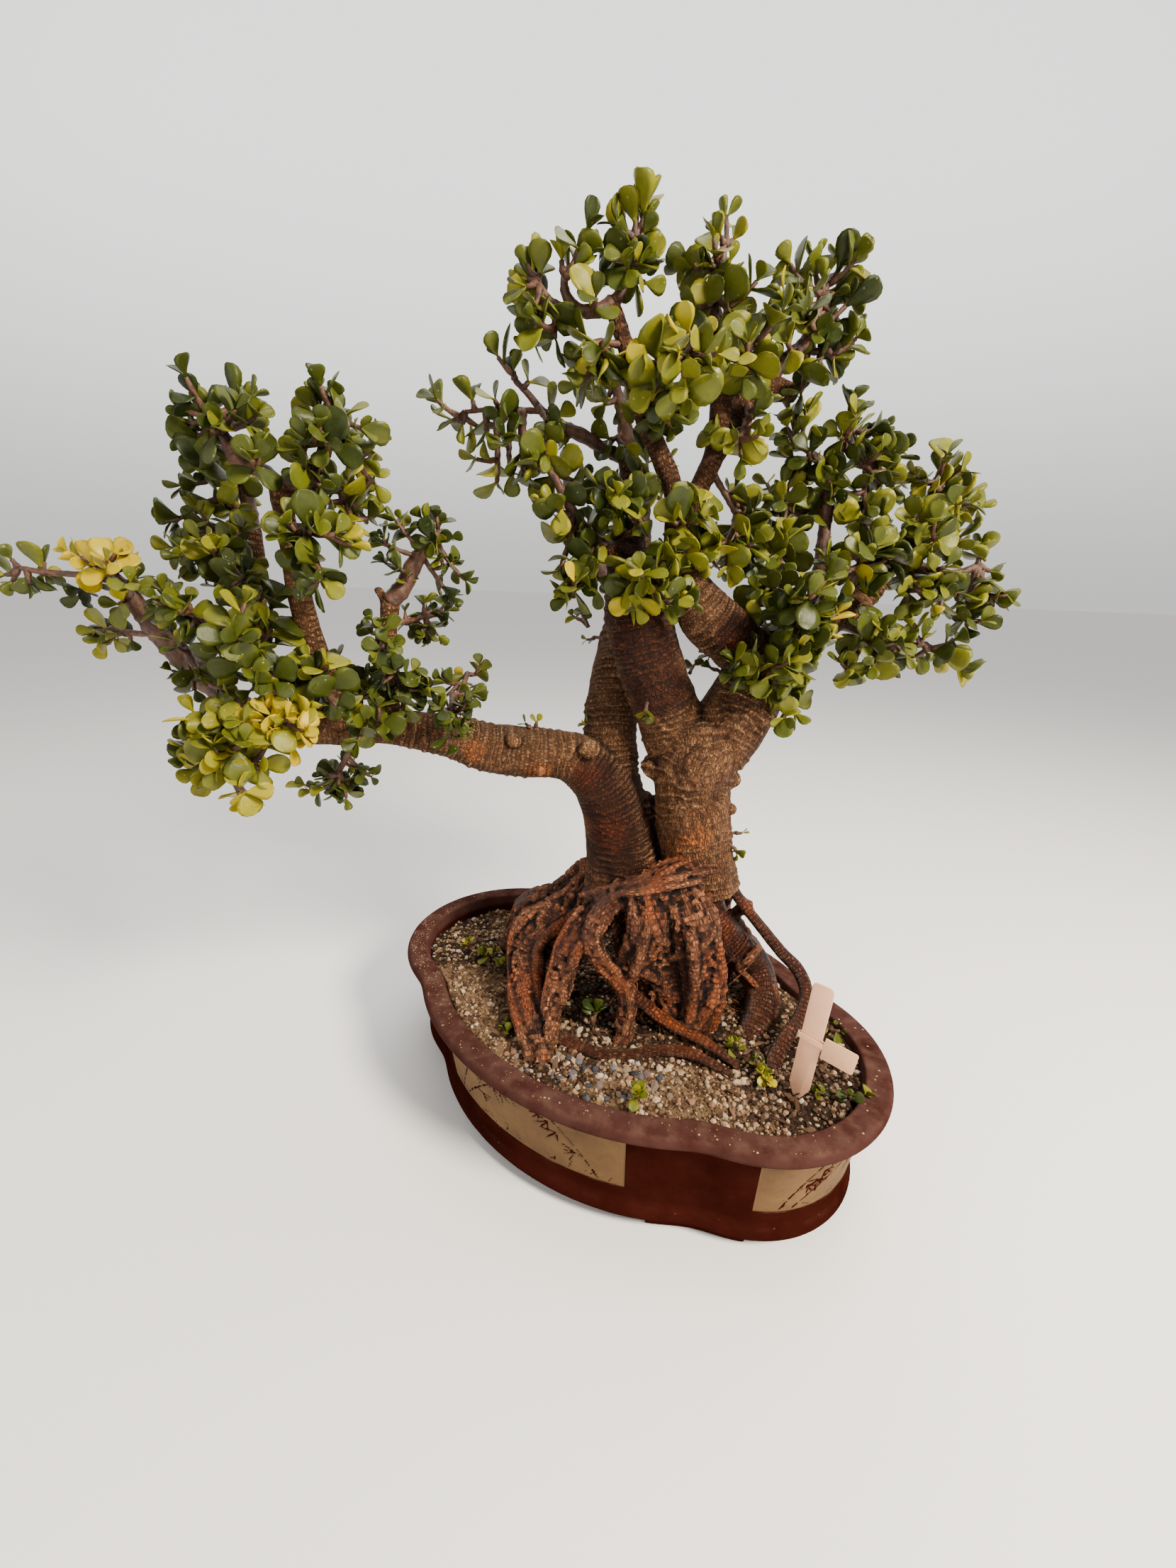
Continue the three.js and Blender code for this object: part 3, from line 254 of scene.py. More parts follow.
def new_piece(name, vertices, faces, material=None):
    mesh = bpy.data.meshes.new(name)
    mesh.from_pydata(np.asarray(vertices).tolist(), [], [list(face) for face in faces])
    mesh.validate()
    if material:
        mesh.materials.append(material)
    piece = placed(name, mesh)
    set_smooth(piece)
    return piece


def cover(piece, material):
    """Gives the whole piece one material."""
    piece.data.materials.clear()
    piece.data.materials.append(material)


def bake(piece):
    """Makes the piece's modifiers part of its mesh."""
    evaluated = piece.evaluated_get(bpy.context.evaluated_depsgraph_get())
    mesh = bpy.data.meshes.new_from_object(evaluated)
    piece.modifiers.clear()
    piece.data = mesh
    return piece


def lofted(rings, closed=True, capped=True):
    """Rings of equal count as one skin: rows run up and columns run anticlockwise."""
    rings = np.asarray(rings)
    rows, count = rings.shape[:2]
    vertices = rings.reshape(-1, 3).tolist()
    faces = []
    for k in range(rows - 1):
        for i in range(count if closed else count - 1):
            j = (i + 1) % count
            faces.append((k * count + i, k * count + j, (k + 1) * count + j, (k + 1) * count + i))
    if capped:
        for row, first in ((0, True), (rows - 1, False)):
            hub = len(vertices)
            vertices.append(rings[row].mean(0).tolist())
            for i in range(count):
                a, b = row * count + i, row * count + (i + 1) % count
                faces.append((hub, b, a) if first else (hub, a, b))
    return np.array(vertices), faces


def joined(parts):
    vertices, faces, start = [], [], 0
    for some_vertices, some_faces in parts:
        vertices.append(some_vertices)
        faces += [tuple(i + start for i in face) for face in some_faces]
        start += len(some_vertices)
    return np.vstack(vertices), faces


def rounded(corners):
    """A profile through corners of inset, height and how far from the corner its rounding starts."""
    line = []
    for k, (inset, height, cut) in enumerate(corners):
        here = np.array([inset, height])
        if not cut:
            line.append(here)
            continue
        ends = []
        for other in (corners[k - 1], corners[k + 1]):
            way = np.array(other[:2]) - here
            ends.append(here + way / np.linalg.norm(way) * cut)
        for t in np.linspace(0, 1, ROUNDING_STEPS):
            line.append((1 - t) ** 2 * ends[0] + 2 * t * (1 - t) * here + t**2 * ends[1])
    return np.array(line)


def wall_inset(height):
    share = (height - WALL_FOOT[1]) / (WALL_TOP[1] - WALL_FOOT[1])
    return WALL_FOOT[0] + (WALL_TOP[0] - WALL_FOOT[0]) * share


def panel_depth(angle, height):
    """How deep the panels are let into the wall at each place."""
    deep = np.zeros(np.broadcast(angle, height).shape)
    for middle, half in PANELS.values():
        off = np.abs((np.degrees(angle) - middle + 180) % 360 - 180)
        deep = np.maximum(deep, (off < half) & (height > PANEL_LOW) & (height < PANEL_HIGH))
    return deep * PANEL_DEPTH


wall_rows = [PANEL_LOW - PANEL_EDGE, PANEL_LOW + PANEL_EDGE, *range(38, 74, 8)]
wall_rows += [PANEL_HIGH - PANEL_EDGE, PANEL_HIGH + PANEL_EDGE]
pot_profile = rounded([
    (60, UNDERSIDE, 0), (19.5, UNDERSIDE, 1.4), (15.3, 10, 2.2), (15.3, 15.2, 2.2), (*WALL_FOOT, 2.6),
    *[(wall_inset(row), row, 0) for row in wall_rows],
    (*WALL_TOP, 2), (1.3, 83.3, 1.4), (0, 86.5, 1.6), (1.8, 91.1, 2.4), (17.3, 91.3, 1.8), (19.5, 84, 3),
    (26.5, 19, 3), (33, POT_FLOOR, 3), (60, POT_FLOOR, 0),
])
columns = list(np.arange(0, 360, 360 / COLUMNS))
for middle, half in PANELS.values():
    for edge in (middle - half, middle + half):
        columns = [c for c in columns if abs((c - edge + 180) % 360 - 180) > 3 * PANEL_EDGE]
        columns += [(edge - PANEL_EDGE) % 360, (edge + PANEL_EDGE) % 360]
columns = np.radians(sorted(columns))
pot_rings = []
for inset, height in pot_profile:
    sunk = panel_depth(columns, height) if inset < 20 and height < WALL_TOP[1] else 0
    pot_rings.append(level_ring(columns, inset + sunk, height))
pot_rings = np.array(pot_rings)
outward = pot_rings[..., :2] / np.linalg.norm(pot_rings[..., :2], axis=-1, keepdims=True)
swell = random_waves(pot_rings, 0.045, 3) + 0.4 * random_waves(pot_rings, 0.012, 4) - 1.2
pot_rings[..., :2] += outward * swell[..., None] * HAND_WORK


def foot(middle):
    """One foot: a rounded block that follows the outline under a notch."""
    rings = []
    for angle in np.radians(middle + np.array(FOOT_TURNS)):
        rings.append([[*outline(angle, inset), height / 1000] for inset, height in FOOT_SECTION])
    rings = np.array(rings)
    for k, lift in enumerate(FOOT_END_LIFTS):
        for ring in (rings[k], rings[-1 - k]):
            ring[:, 2] = np.maximum(ring[:, 2], lift)
    return lofted(rings)


centre_foot = rounded([(0, 0, 0), (CENTRE_FOOT, 0, 1.5), (CENTRE_FOOT, UNDERSIDE + 1, 0)])[1:]
turns = np.linspace(0, 2 * math.pi, CENTRE_FOOT_SIDES, endpoint=False)
centre_rings = [np.column_stack([np.cos(turns) * r, np.sin(turns) * r, np.full(CENTRE_FOOT_SIDES, z)]) / 1000
                for r, z in centre_foot]
feet = [foot(side + sign * NOTCH_ANGLE) for side in (0, 180) for sign in (-1, 1)]

pot = new_piece("clay_pot", *lofted(pot_rings))
for x in (-DRAIN_X, DRAIN_X):
    shaft = bmesh.new()
    bmesh.ops.create_cone(shaft, cap_ends=True, segments=40, radius1=DRAIN_RADIUS, radius2=DRAIN_RADIUS,
                          depth=DRILL_LENGTH, matrix=Matrix.Translation((x, 0, UNDERSIDE / 1000)))
    drill = shaped("drill", shaft)
    cut = pot.modifiers.new("drain", "BOOLEAN")
    cut.object = drill
    cut.operation = "DIFFERENCE"
    bake(pot)
    bpy.data.objects.remove(drill)
whole = bmesh.new()
whole.from_mesh(pot.data)
for vertices, faces in [*feet, lofted(centre_rings)]:
    corners = [whole.verts.new(place) for place in vertices]
    for face in faces:
        whole.faces.new([corners[i] for i in face])
whole.to_mesh(pot.data)
whole.free()
set_smooth(pot, sharp=40)


def calculated(operation, *values):
    """Arithmetic on sockets and numbers, in the node tree of the sockets."""
    tree = next(value.id_data for value in values if isinstance(value, bpy.types.NodeSocket))
    return node(tree, "ShaderNodeMath", dict(enumerate(values)), operation=operation).outputs[0]


def plus(first, second):
    return calculated("ADD", first, second)


def times(first, *others):
    for other in others:
        first = calculated("MULTIPLY", first, other)
    return first


def mask_group(name, **numbers):
    """A shader group that makes a mask from a place and some numbers: the group, its inputs, its output."""
    group = bpy.data.node_groups.new(name, "ShaderNodeTree")
    group.interface.new_socket("Vector", in_out="INPUT", socket_type="NodeSocketVector")
    for socket, value in numbers.items():
        made = group.interface.new_socket(socket, in_out="INPUT", socket_type="NodeSocketFloat")
        made.default_value = value
    group.interface.new_socket("Mask", in_out="OUTPUT", socket_type="NodeSocketFloat")
    return group, group.nodes.new("NodeGroupInput").outputs, group.nodes.new("NodeGroupOutput").inputs[0]


mottle, given, mask = mask_group("mottle", Scale=40.0, From=0.4, To=0.6, Detail=5.0)
cloud = node(mottle, "ShaderNodeTexNoise", {"Vector": given["Vector"], "Scale": given["Scale"],
                                            "Detail": given["Detail"], "Roughness": 0.6})
mottle.links.new(mapped(cloud.outputs["Fac"], given["From"], given["To"]), mask)

specks, given, mask = mask_group("specks", Scale=200.0, Size=0.2, Share=0.1)
cells = node(specks, "ShaderNodeTexVoronoi", {"Vector": given["Vector"], "Scale": given["Scale"]})
near = calculated("LESS_THAN", cells.outputs["Distance"], given["Size"])
pick = node(specks, "ShaderNodeSeparateColor", {"Color": cells.outputs["Color"]})
few = calculated("LESS_THAN", pick.outputs["Red"], given["Share"])
specks.links.new(times(near, few), mask)


def mottled(place, scale, low, high, detail=5.0):
    """Soft clouds over a surface, from 0 to 1."""
    values = {"Vector": place, "Scale": scale, "From": low, "To": high, "Detail": detail}
    return node(place.id_data, "ShaderNodeGroup", values, node_tree=mottle).outputs[0]


def specked(place, scale, size, share):
    """Small dots in a share of the cells of a surface."""
    values = {"Vector": place, "Scale": scale, "Size": size, "Share": share}
    return node(place.id_data, "ShaderNodeGroup", values, node_tree=specks).outputs[0]


def mixed(share, first, second, blend="MIX"):
    """Two colours mixed by a share from 0 to 1 that a socket gives."""
    first, second = (c if isinstance(c, bpy.types.NodeSocket) else (*c, 1) for c in (first, second))
    return node(share.id_data, "ShaderNodeMix", {0: share, 6: first, 7: second}, data_type="RGBA",
                blend_type=blend).outputs[2]


def attribute(tree, name, output="Fac"):
    return node(tree, "ShaderNodeAttribute", attribute_name=name).outputs[output]


def finish(shader, colour, *bumps):
    """Puts a colour on the shader, and bumps of a height, a distance and a strength over one another."""
    tree = shader.id_data
    tree.links.new(colour, shader.inputs["Base Color"])
    below = {}
    for height, distance, strength in bumps:
        values = {"Height": height, "Distance": distance, "Strength": strength, **below}
        below = {"Normal": node(tree, "ShaderNodeBump", values).outputs["Normal"]}
    tree.links.new(below["Normal"], shader.inputs["Normal"])


# Painted shade: the clay's two body colours are made darker than the lip's, for the shade that falls on the
# wall under the overhanging lip.
CLAY_SHADED_DARK, CLAY_SHADED_WARM = (0.018, 0.0032, 0.0020), (0.033, 0.0066, 0.0043)
CLAY_WORN, CLAY_DUST, CLAY_FLECK = (0.055, 0.0235, 0.0190), (0.22, 0.130, 0.085), (0.32, 0.22, 0.14)
clay, tree, shader, place = new_material("unglazed_clay", 0.62, Specular_IOR_Level=0.0)
flat = mapped(upward(node(tree, "ShaderNodeNewGeometry").outputs["Normal"]), 0.45, 0.95)
lip = mapped(upward(place), 0.0815, 0.0850)
# Painted shade: all but the lip takes the darkened body colours.
body = mixed(mottled(place, 26, 0.35, 0.68), CLAY_SHADED_DARK, CLAY_SHADED_WARM)
body = mixed(times(lip, mottled(place, 55, 0.18, 0.58)), body, CLAY_WORN)
dusty = times(mottled(place, 75, 0.45, 0.75), 0.25)
body = mixed(times(flat, dusty), body, CLAY_DUST)
body = mixed(times(specked(place, 420, 0.26, 0.05), flat), body, CLAY_FLECK)
tree.links.new(mapped(lip, 0, 1, 0.62, 0.80), shader.inputs["Roughness"])
finish(shader, body, (mottled(place, 900, 0.2, 0.8), 0.00012, 0.6),
       (mottled(place, 140, 0.2, 0.8), 0.0003, 0.5))
cover(pot, clay)
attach(pot, "root")
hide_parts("pot")

# Four panels of buff slip are let into the wall, one in each lobe. Bamboo and grass are drawn into
# the slip while it is wet, with the tip of a knife, down to the dark clay.
PANEL_GRAIN = 0.0011
PANEL_BODY, PANEL_SINK, SLIP_SWELL = 2.0, 0.2, 0.12
CUT_DEPTH = 0.45
DRAWING_FOOT, DRAWING_TOP = -22.0, 17
STALKS = [(-0.80, 1, 0.42), (-0.70, 1, 0.70), (0.78, -1, 0.52)]
SLIP_LIGHT, SLIP_WARM, SLIP_DARK = (0.145, 0.078, 0.027), (0.088, 0.045, 0.016), (0.016, 0.006, 0.003)
SLIP_STAIN = (0.060, 0.028, 0.011)


def bamboo(width, seed):
    """Strokes of a bamboo drawing, as rows of start, end and half-width in millimetres."""
    draw = np.random.default_rng(seed)
    strokes = []

    def stroke(x, y, heading, reach, half_width):
        end_x, end_y = x + reach * math.cos(heading), y + reach * math.sin(heading)
        strokes.append((x, y, end_x, end_y, half_width))
        return end_x, end_y

    def leaf_fan(x, y, lean, count):
        for turn in np.linspace(-0.75, 0.75, count) + draw.normal(0, 0.08, count):
            stroke(x, y, lean + turn, draw.uniform(7, 13), draw.uniform(0.5, 0.95))

    half = width / 2
    for foot_share, side, lean in STALKS:
        x, y, heading = foot_share * half, DRAWING_FOOT, math.pi / 2 - side * lean
        while y < DRAWING_TOP and abs(x) < half - 8:
            to_x, to_y = stroke(x, y, heading, draw.uniform(6.5, 9), 0.75)
            if y > -14 and draw.random() < 0.8:
                twig = heading - side * draw.uniform(0.5, 0.9)
                end_x, end_y = stroke(to_x, to_y, twig, 7, 0.3)
                leaf_fan(end_x, end_y, twig - side * draw.uniform(0.5, 1.1), int(draw.integers(3, 6)))
            x, y = to_x + 1.2 * math.cos(heading), to_y + 1.2 * math.sin(heading)
            heading -= side * draw.uniform(0.02, 0.12)
    for _ in range(int(width / 9)):
        x = draw.uniform(-half + 6, half - 6)
        stroke(x, DRAWING_FOOT, math.pi / 2 + draw.normal(0, 0.5), draw.uniform(4, 10), 0.35)
    return np.array(strokes)


def cut_into_slip(across, height, strokes):
    """How deep the strokes are cut at each place of a panel, from 0 to 1."""
    deep = np.zeros(across.shape)
    for x0, y0, x1, y1, half in strokes:
        reach = math.hypot(x1 - x0, y1 - y0)
        along = ((across - x0) * (x1 - x0) + (height - y0) * (y1 - y0)) / reach**2
        share = np.clip(along, 0, 1)
        off = np.hypot(across - x0 - share * (x1 - x0), height - y0 - share * (y1 - y0))
        wide = half * (0.25 + 1.5 * np.sqrt(share) * (1 - share) ** 0.6)
        deep = np.maximum(deep, 1 - smooth_step(0.5, 1.25, off / wide))
    return deep


def run_along(points):
    """How far each point of a line lies from its start."""
    return np.concatenate([[0], np.cumsum(np.linalg.norm(np.diff(points, axis=0), axis=1))])


def slip_panel(name, middle, half, seed):
    fine = np.radians(np.linspace(middle - half + PANEL_EDGE, middle + half - PANEL_EDGE, 1200))
    run = run_along(outline(fine, wall_inset((PANEL_LOW + PANEL_HIGH) / 2 + 0.5)))
    steps = int(run[-1] / PANEL_GRAIN)
    along = np.linspace(0, run[-1], steps)
    angles = np.interp(along, run, fine)
    low, high = PANEL_LOW + PANEL_EDGE, PANEL_HIGH - PANEL_EDGE
    heights = np.linspace(low, high, int((PANEL_HIGH - PANEL_LOW) / 1000 / PANEL_GRAIN))
    across, up = np.meshgrid((along - run[-1] / 2) * 1000, heights - (PANEL_LOW + PANEL_HIGH) / 2)
    deep = cut_into_slip(across, up, bamboo(run[-1] * 1000, seed))
    rows = []
    for cut, height in zip(deep, heights):
        face = wall_inset(height) + PANEL_DEPTH
        swell = random_waves(level_ring(angles, face - 0.1, height), 0.006, seed) * SLIP_SWELL
        rows.append(level_ring(angles, face - PANEL_SINK + (swell + cut * CUT_DEPTH), height))
    for height in (high, low):
        rows.append(level_ring(angles, wall_inset(height) + PANEL_DEPTH + PANEL_BODY, height))
    vertices, faces = lofted(rows, closed=False, capped=False)
    last = len(rows) - 1
    faces += [(last * steps + i, last * steps + i + 1, i + 1, i) for i in range(steps - 1)]
    for column, turned in ((0, False), (steps - 1, True)):
        edge = [row * steps + column for row in range(last + 1)]
        faces.append(edge if turned else edge[::-1])
    panel = new_piece(name, vertices, faces, slip)
    stroke = panel.data.attributes.new("stroke", "FLOAT", "POINT")
    stroke.data.foreach_set("value", np.concatenate([deep.ravel(), np.zeros(2 * steps)]))
    return panel


slip, tree, shader, place = new_material("buff_slip", 0.78, Specular_IOR_Level=0.2)
body = mixed(mottled(place, 38, 0.3, 0.7), SLIP_WARM, SLIP_LIGHT)
body = mixed(times(mottled(place, 170, 0.52, 0.8), 0.5), body, SLIP_STAIN)
body = mixed(attribute(tree, "stroke"), body, SLIP_DARK)
finish(shader, body, (mottled(place, 500, 0.2, 0.8), 0.0002, 0.6))
for seed, (side, (middle, half)) in enumerate(PANELS.items(), 11):
    panel = slip_panel("slip_panel_" + side, middle, half, seed)
    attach(panel, "root")

# A square of black plastic mesh lies over each of the two drain holes, held down by the soil.
drain_mesh, tree, shader, place = new_material("black_plastic_mesh", 0.5)
weave = node(tree, "ShaderNodeTexBrick", {
    "Vector": place, "Scale": 160.0, "Color1": (0.012, 0.012, 0.011, 1), "Color2": (0.02, 0.02, 0.018, 1),
    "Mortar": (0.006, 0.006, 0.006, 1)})
grit = mottled(place, 300, 0.6, 0.8)
body = mixed(grit, weave.outputs["Color"], (0.05, 0.035, 0.022))
finish(shader, body, (weave.outputs["Fac"], 0.0004, 1.0))
for side in ("east", "west"):
    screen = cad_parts["drain_screen_" + side]
    if screen.material_slots:
        screen.material_slots[0].material = drain_mesh
    else:
        screen.data.materials.append(drain_mesh)

# The soil is a gritty mix that fills the pot to just under the rim, heaped round the roots. Its
# crust is fine sand and dust with loam showing through, darker behind and under the tree.
SOIL_LEVEL, SOIL_DROP, SOIL_HEAP, HEAP_RADIUS, SOIL_GRIT = 86, 10, 5, 85, 0.8
SOIL_FOOT = 16.8
SOIL_RINGS, SOIL_COLUMNS = 58, 300
SOIL_EDGE_INSET = 19.6
HEAP_PLACE = (20, -5)
SOIL_PATCHES = [(0.42, -120, -45, 85), (0.35, 25, -118, 70), (0.15, -95, 90, 60), (-0.35, -140, 75, 60),
                (-0.42, 135, -95, 70), (-0.30, 20, -20, 85)]
CRUMBS = [(1.5, 0.011, 5), (1.3, 0.005, 6), (0.9, 0.0026, 7)]
SAND, SAND_WARM = (0.200, 0.122, 0.062), (0.085, 0.047, 0.022)
LOAM, LOAM_DARK = (0.040, 0.020, 0.010), (0.012, 0.006, 0.003)


def soil_height(x, y):
    """The height of the soil in metres at places in metres."""
    x, y = np.asarray(x) * 1000, np.asarray(y) * 1000
    heap_x, heap_y = on_tree([*HEAP_PLACE, 0])[:2] * 1000
    heap = 1 - smooth_step(0, HEAP_RADIUS, np.hypot(x - heap_x, y - heap_y))
    grit = np.sin(x * 0.31 + 1) * np.cos(y * 0.27) + 0.6 * np.sin(x * 0.17 - y * 0.23)
    drop = SOIL_DROP * smooth_step(15, 130, -0.6 * x + 0.8 * y)
    return (SOIL_LEVEL - drop + SOIL_HEAP * heap + SOIL_GRIT * grit) / 1000


def tree_places(x, y):
    """u and v in millimetres of places in metres on the pot's axes."""
    c, s = math.cos(TREE_TURN), math.sin(TREE_TURN)
    return (np.asarray(x) * c + np.asarray(y) * s) * 1000, (np.asarray(y) * c - np.asarray(x) * s) * 1000


def crumbs(x, y):
    """The lumps of the soil's crust, in metres."""
    flat = np.stack([x, y, np.zeros_like(x)], -1)
    return (sum(random_waves(flat, size, seed) * rise for rise, size, seed in CRUMBS) - 1.95) / 1000


def soil_tone(x, y):
    """How pale the soil is, from 0 for wet loam to 1 for dry sand. Patches add a share in a circle."""
    u, v = tree_places(x, y)
    flat = np.stack([x, y, np.zeros_like(x)], -1)
    pale = 0.50
    for share, middle_u, middle_v, radius in SOIL_PATCHES:
        pale = pale + share * (1 - smooth_step(0.55, 1, np.hypot(u - middle_u, v - middle_v) / radius))
    pale += 0.75 * (random_waves(flat, 0.022, 8) - 0.5) + 0.45 * (random_waves(flat, 0.007, 9) - 0.5)
    return np.clip(pale, 0, 1)


turns = np.linspace(0, 2 * math.pi, SOIL_COLUMNS, endpoint=False)
bed_rings = [level_ring(turns, 31.5, SOIL_FOOT), level_ring(turns, 28, 22)]
for share in 1 - (np.arange(SOIL_RINGS) / SOIL_RINGS) ** 1.15 * 0.985:
    flat = outline(turns, SOIL_EDGE_INSET) * share
    bed_rings.append(np.column_stack([flat, soil_height(*flat.T) + crumbs(*flat.T)]))
crust, tree, shader, place = new_material("soil_crust", 0.95, Specular_IOR_Level=0.15)
fleck = mottled(place, 520, 0.25, 0.75, 3)
coarse = mottled(place, 230, 0.3, 0.7, 3)
grain = plus(times(fleck, 0.8), times(coarse, 0.7))
pale = plus(attribute(tree, "tone"), calculated("SUBTRACT", grain, 0.85))
dark = mixed(mapped(pale, 0, 0.45), LOAM_DARK, LOAM)
sand = mixed(mottled(place, 90, 0.3, 0.7), SAND_WARM, SAND)
finish(shader, mixed(mapped(pale, 0.42, 0.85), dark, sand), (grain, 0.0014, 1.0))
soil = new_piece("soil_bed", *lofted(bed_rings), crust)
places = np.array([vertex.co for vertex in soil.data.vertices])
tones = soil.data.attributes.new("tone", "FLOAT", "POINT")
tones.data.foreach_set("value", soil_tone(places[:, 0], places[:, 1]))
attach(soil, "root")
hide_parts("soil")

# The tree's two trunks, its leaders and its long left limb are one piece of living wood. The bark
# is thin, tan to grey-brown, wrinkled across the grain and ringed with old leaf scars; collars and
# burrs stand where shoots were cut back. Rows give u, v, z and the radius in millimetres.
LIMBS = {
    "right_trunk": [(55, 2, 178, 30.5), (53, 0, 202, 26.8), (47, -2, 233, 26.2), (44, -3, 253, 26.2),
        (44, -3, 268, 29.4), (47, -3, 287, 30.4), (47, -3, 300, 24.9)],
    "left_leader": [(37, -3, 279, 22.3), (24, -4, 305, 21.5), (14, -6, 328, 21), (5, -8, 350, 21.3),
        (0, -10, 368, 21.4), (-4, -10, 388, 17.6), (-7, -6, 405, 11.5), (-6, 0, 424, 8.7), (-5, 8, 444, 7.9),
        (-10, 14, 464, 5.9)],
    "torn_stub": [(-7, -14, 385, 8.3), (-20, -20, 408, 5.5)],
    "right_leader": [(57, -3, 280, 24.3), (71, -3, 307, 24.8), (82, 0, 329, 23.1), (93, 4, 345, 19.8),
        (109, 6, 358, 15.5), (129, 8, 370, 11.7), (148, 10, 382, 8.4), (158, 12, 396, 7.4),
        (165, 14, 412, 6.4)],
    "cross_limb": [(83, 0, 336, 18), (60, -8, 357, 17), (42, -13, 371, 15.6), (28, -15, 390, 12),
        (21, -12, 412, 7.6)],
    "front_crown": [(21, -12, 412, 7.3), (18, -8, 441, 5.9), (8, -10, 461, 6), (-1, -12, 478, 6.1),
        (-7, -14, 494, 5.6), (-13, -14, 509, 4.9), (-19, -14, 524, 4.7), (-23, -14, 532, 5)],
    "mid_crown": [(22, -11, 414, 6.5), (33, -6, 442, 6), (41, -4, 461, 6.3), (43, -4, 478, 6.2),
        (42, -4, 499, 5.7), (38, -6, 524, 5.6)],
    "rear_crown": [(41, -4, 459, 5.5), (53, 6, 480, 6.8), (61, 12, 499, 8.1), (74, 14, 502, 7.3),
        (88, 14, 500, 5.6)],
    "back_trunk": [(-5, 8, 233, 21.6), (-10, 10, 256, 19.3), (-12, 14, 279, 18.7), (-13, 20, 300, 17.6),
        (-13, 28, 322, 15.6), (-10, 42, 345, 13.3), (-3, 60, 372, 11.5), (5, 80, 402, 9.1),
        (7, 98, 431, 7.1)],
    "left_limb": [(1, 4, 178, 31.2), (-2, 3, 201, 25.4), (-6, 2, 221, 23.5), (-13, 0, 243, 22.1),
        (-24, -2, 262, 19.7), (-43, -6, 274, 17.2), (-71, -12, 278, 17.4), (-94, -18, 282, 16.6),
        (-115, -26, 290, 13.9), (-136, -32, 295, 12.3), (-156, -40, 299, 10.8), (-172, -46, 300, 12.1),
        (-189, -54, 300, 9.9), (-205, -62, 300, 7.9), (-219, -70, 299, 5.7)],
    "left_upright": [(-177, -54, 305, 8), (-179, -62, 332, 6.9), (-183, -68, 359, 6.6),
        (-185, -72, 380, 6.4), (-185, -74, 397, 5.5), (-186, -76, 414, 5), (-185, -78, 428, 6)],
    "left_rear": [(-204, -58, 303, 6.3), (-219, -50, 323, 5.5), (-226, -42, 350, 5.4), (-226, -34, 382, 5.4),
        (-228, -28, 412, 5)],
    "left_mid": [(-151, -38, 303, 6.6), (-152, -34, 331, 5.6), (-152, -30, 352, 5.4), (-150, -28, 373, 6.2)],
    "left_stub": [(-151, -29, 358, 5), (-151, -28, 370, 3.6), (-157, -30, 381, 2.8)],
}
KNOBS = [
    (16, -8, 268, 8), (71, -6, 262, 6), (-106, -32, 292, 7), (-172, -52, 298, 9), (58, 2, 346, 9),
]
SCARS = [
    (-27, -22, 284, 5.5), (-76, -29, 290, 4.5), (72, -8, 240, 3.5), (38, -28, 262, 3), (-60, -26, 270, 3),
    (64, -22, 296, 3.5), (20, -22, 300, 3.2), (-8, -24, 352, 3.5), (90, -14, 330, 4), (-4, 12, 300, 4.5),
    (-24, 12, 262, 4), (47, 24, 250, 4), (10, 22, 228, 3.5), (-140, -40, 304, 4), (120, -6, 356, 3.5),
]
# Orange patches, mostly on the front and the undersides: partly the bark's own reddish colour, partly a
# painted warm sheen of sunlight.
ORANGE_AND_SHEEN_PATCHES = [
    (-32, -24, 262, 15), (-19, -22, 224, 22), (47, -30, 225, 14), (-60, -26, 266, 12), (60, -22, 352, 12),
    (0, -24, 372, 14), (72, -14, 500, 12), (30, -26, 205, 20), (-100, -34, 283, 10), (8, -22, 272, 8),
]
CROTCH = [(27, 8, 172, 15), (24, 10, 198, 12), (18, 12, 216, 12), (6, 12, 238, 14)]
VOXEL = 0.0016
PATH_STEP = 0.003
THINNEST = 0.0004
RING_SPACING = 0.0058
LIMB_GAP = 1.7
# Painted shade, with some darker red-brown bark: patches on the leaders under the crown and at the left
# limb's bend are darkened and reddened.
SHADE_AND_STAIN_PATCHES = [
    (14, -26, 328, 26), (5, -28, 350, 30), (0, -30, 374, 30), (-6, -20, 396, 26), (-24, -22, 262, 20),
    (-13, -22, 243, 25), (-6, -22, 221, 27), (0, -22, 200, 20), (60, -25, 357, 20),
]
TORN = [(-38, -26, 236, 7), (-27, -27, 222, 8), (-18, -27, 208, 8), (-9, -28, 196, 7)]
# The palest bark colour is a painted highlight, laid on the ridges of the skin.
BARK_DEEP, BARK_TAN, BARK_RIDGE_HIGHLIGHT = (0.008, 0.0026, 0.0012), (0.150, 0.055, 0.018), (0.44, 0.222, 0.098)
# The grey bark colour paints the sky's light on upward faces and the shade round the back.
# The orange bark colour is partly the bark's own, partly a painted warm sheen.
BARK_WARM, BARK_SKY_AND_SHADE_GREY, BARK_ORANGE_AND_SHEEN = (0.100, 0.033, 0.011), (0.145, 0.092, 0.047), (0.48, 0.125, 0.022)
# The gap colour is painted shade for the hollows of the skin.
# The stain colour multiplies in painted shade under the crown, along with darker red-brown bark on the
# leaders and at the limb bend.
BARK_SCAR, BARK_HOLLOW_SHADE, BARK_SHADE_AND_STAIN = (0.34, 0.190, 0.100), (0.010, 0.004, 0.002), (0.26, 0.14, 0.095)
SHRED_DEEP, SHRED_RED = (0.020, 0.006, 0.003), (0.26, 0.080, 0.024)


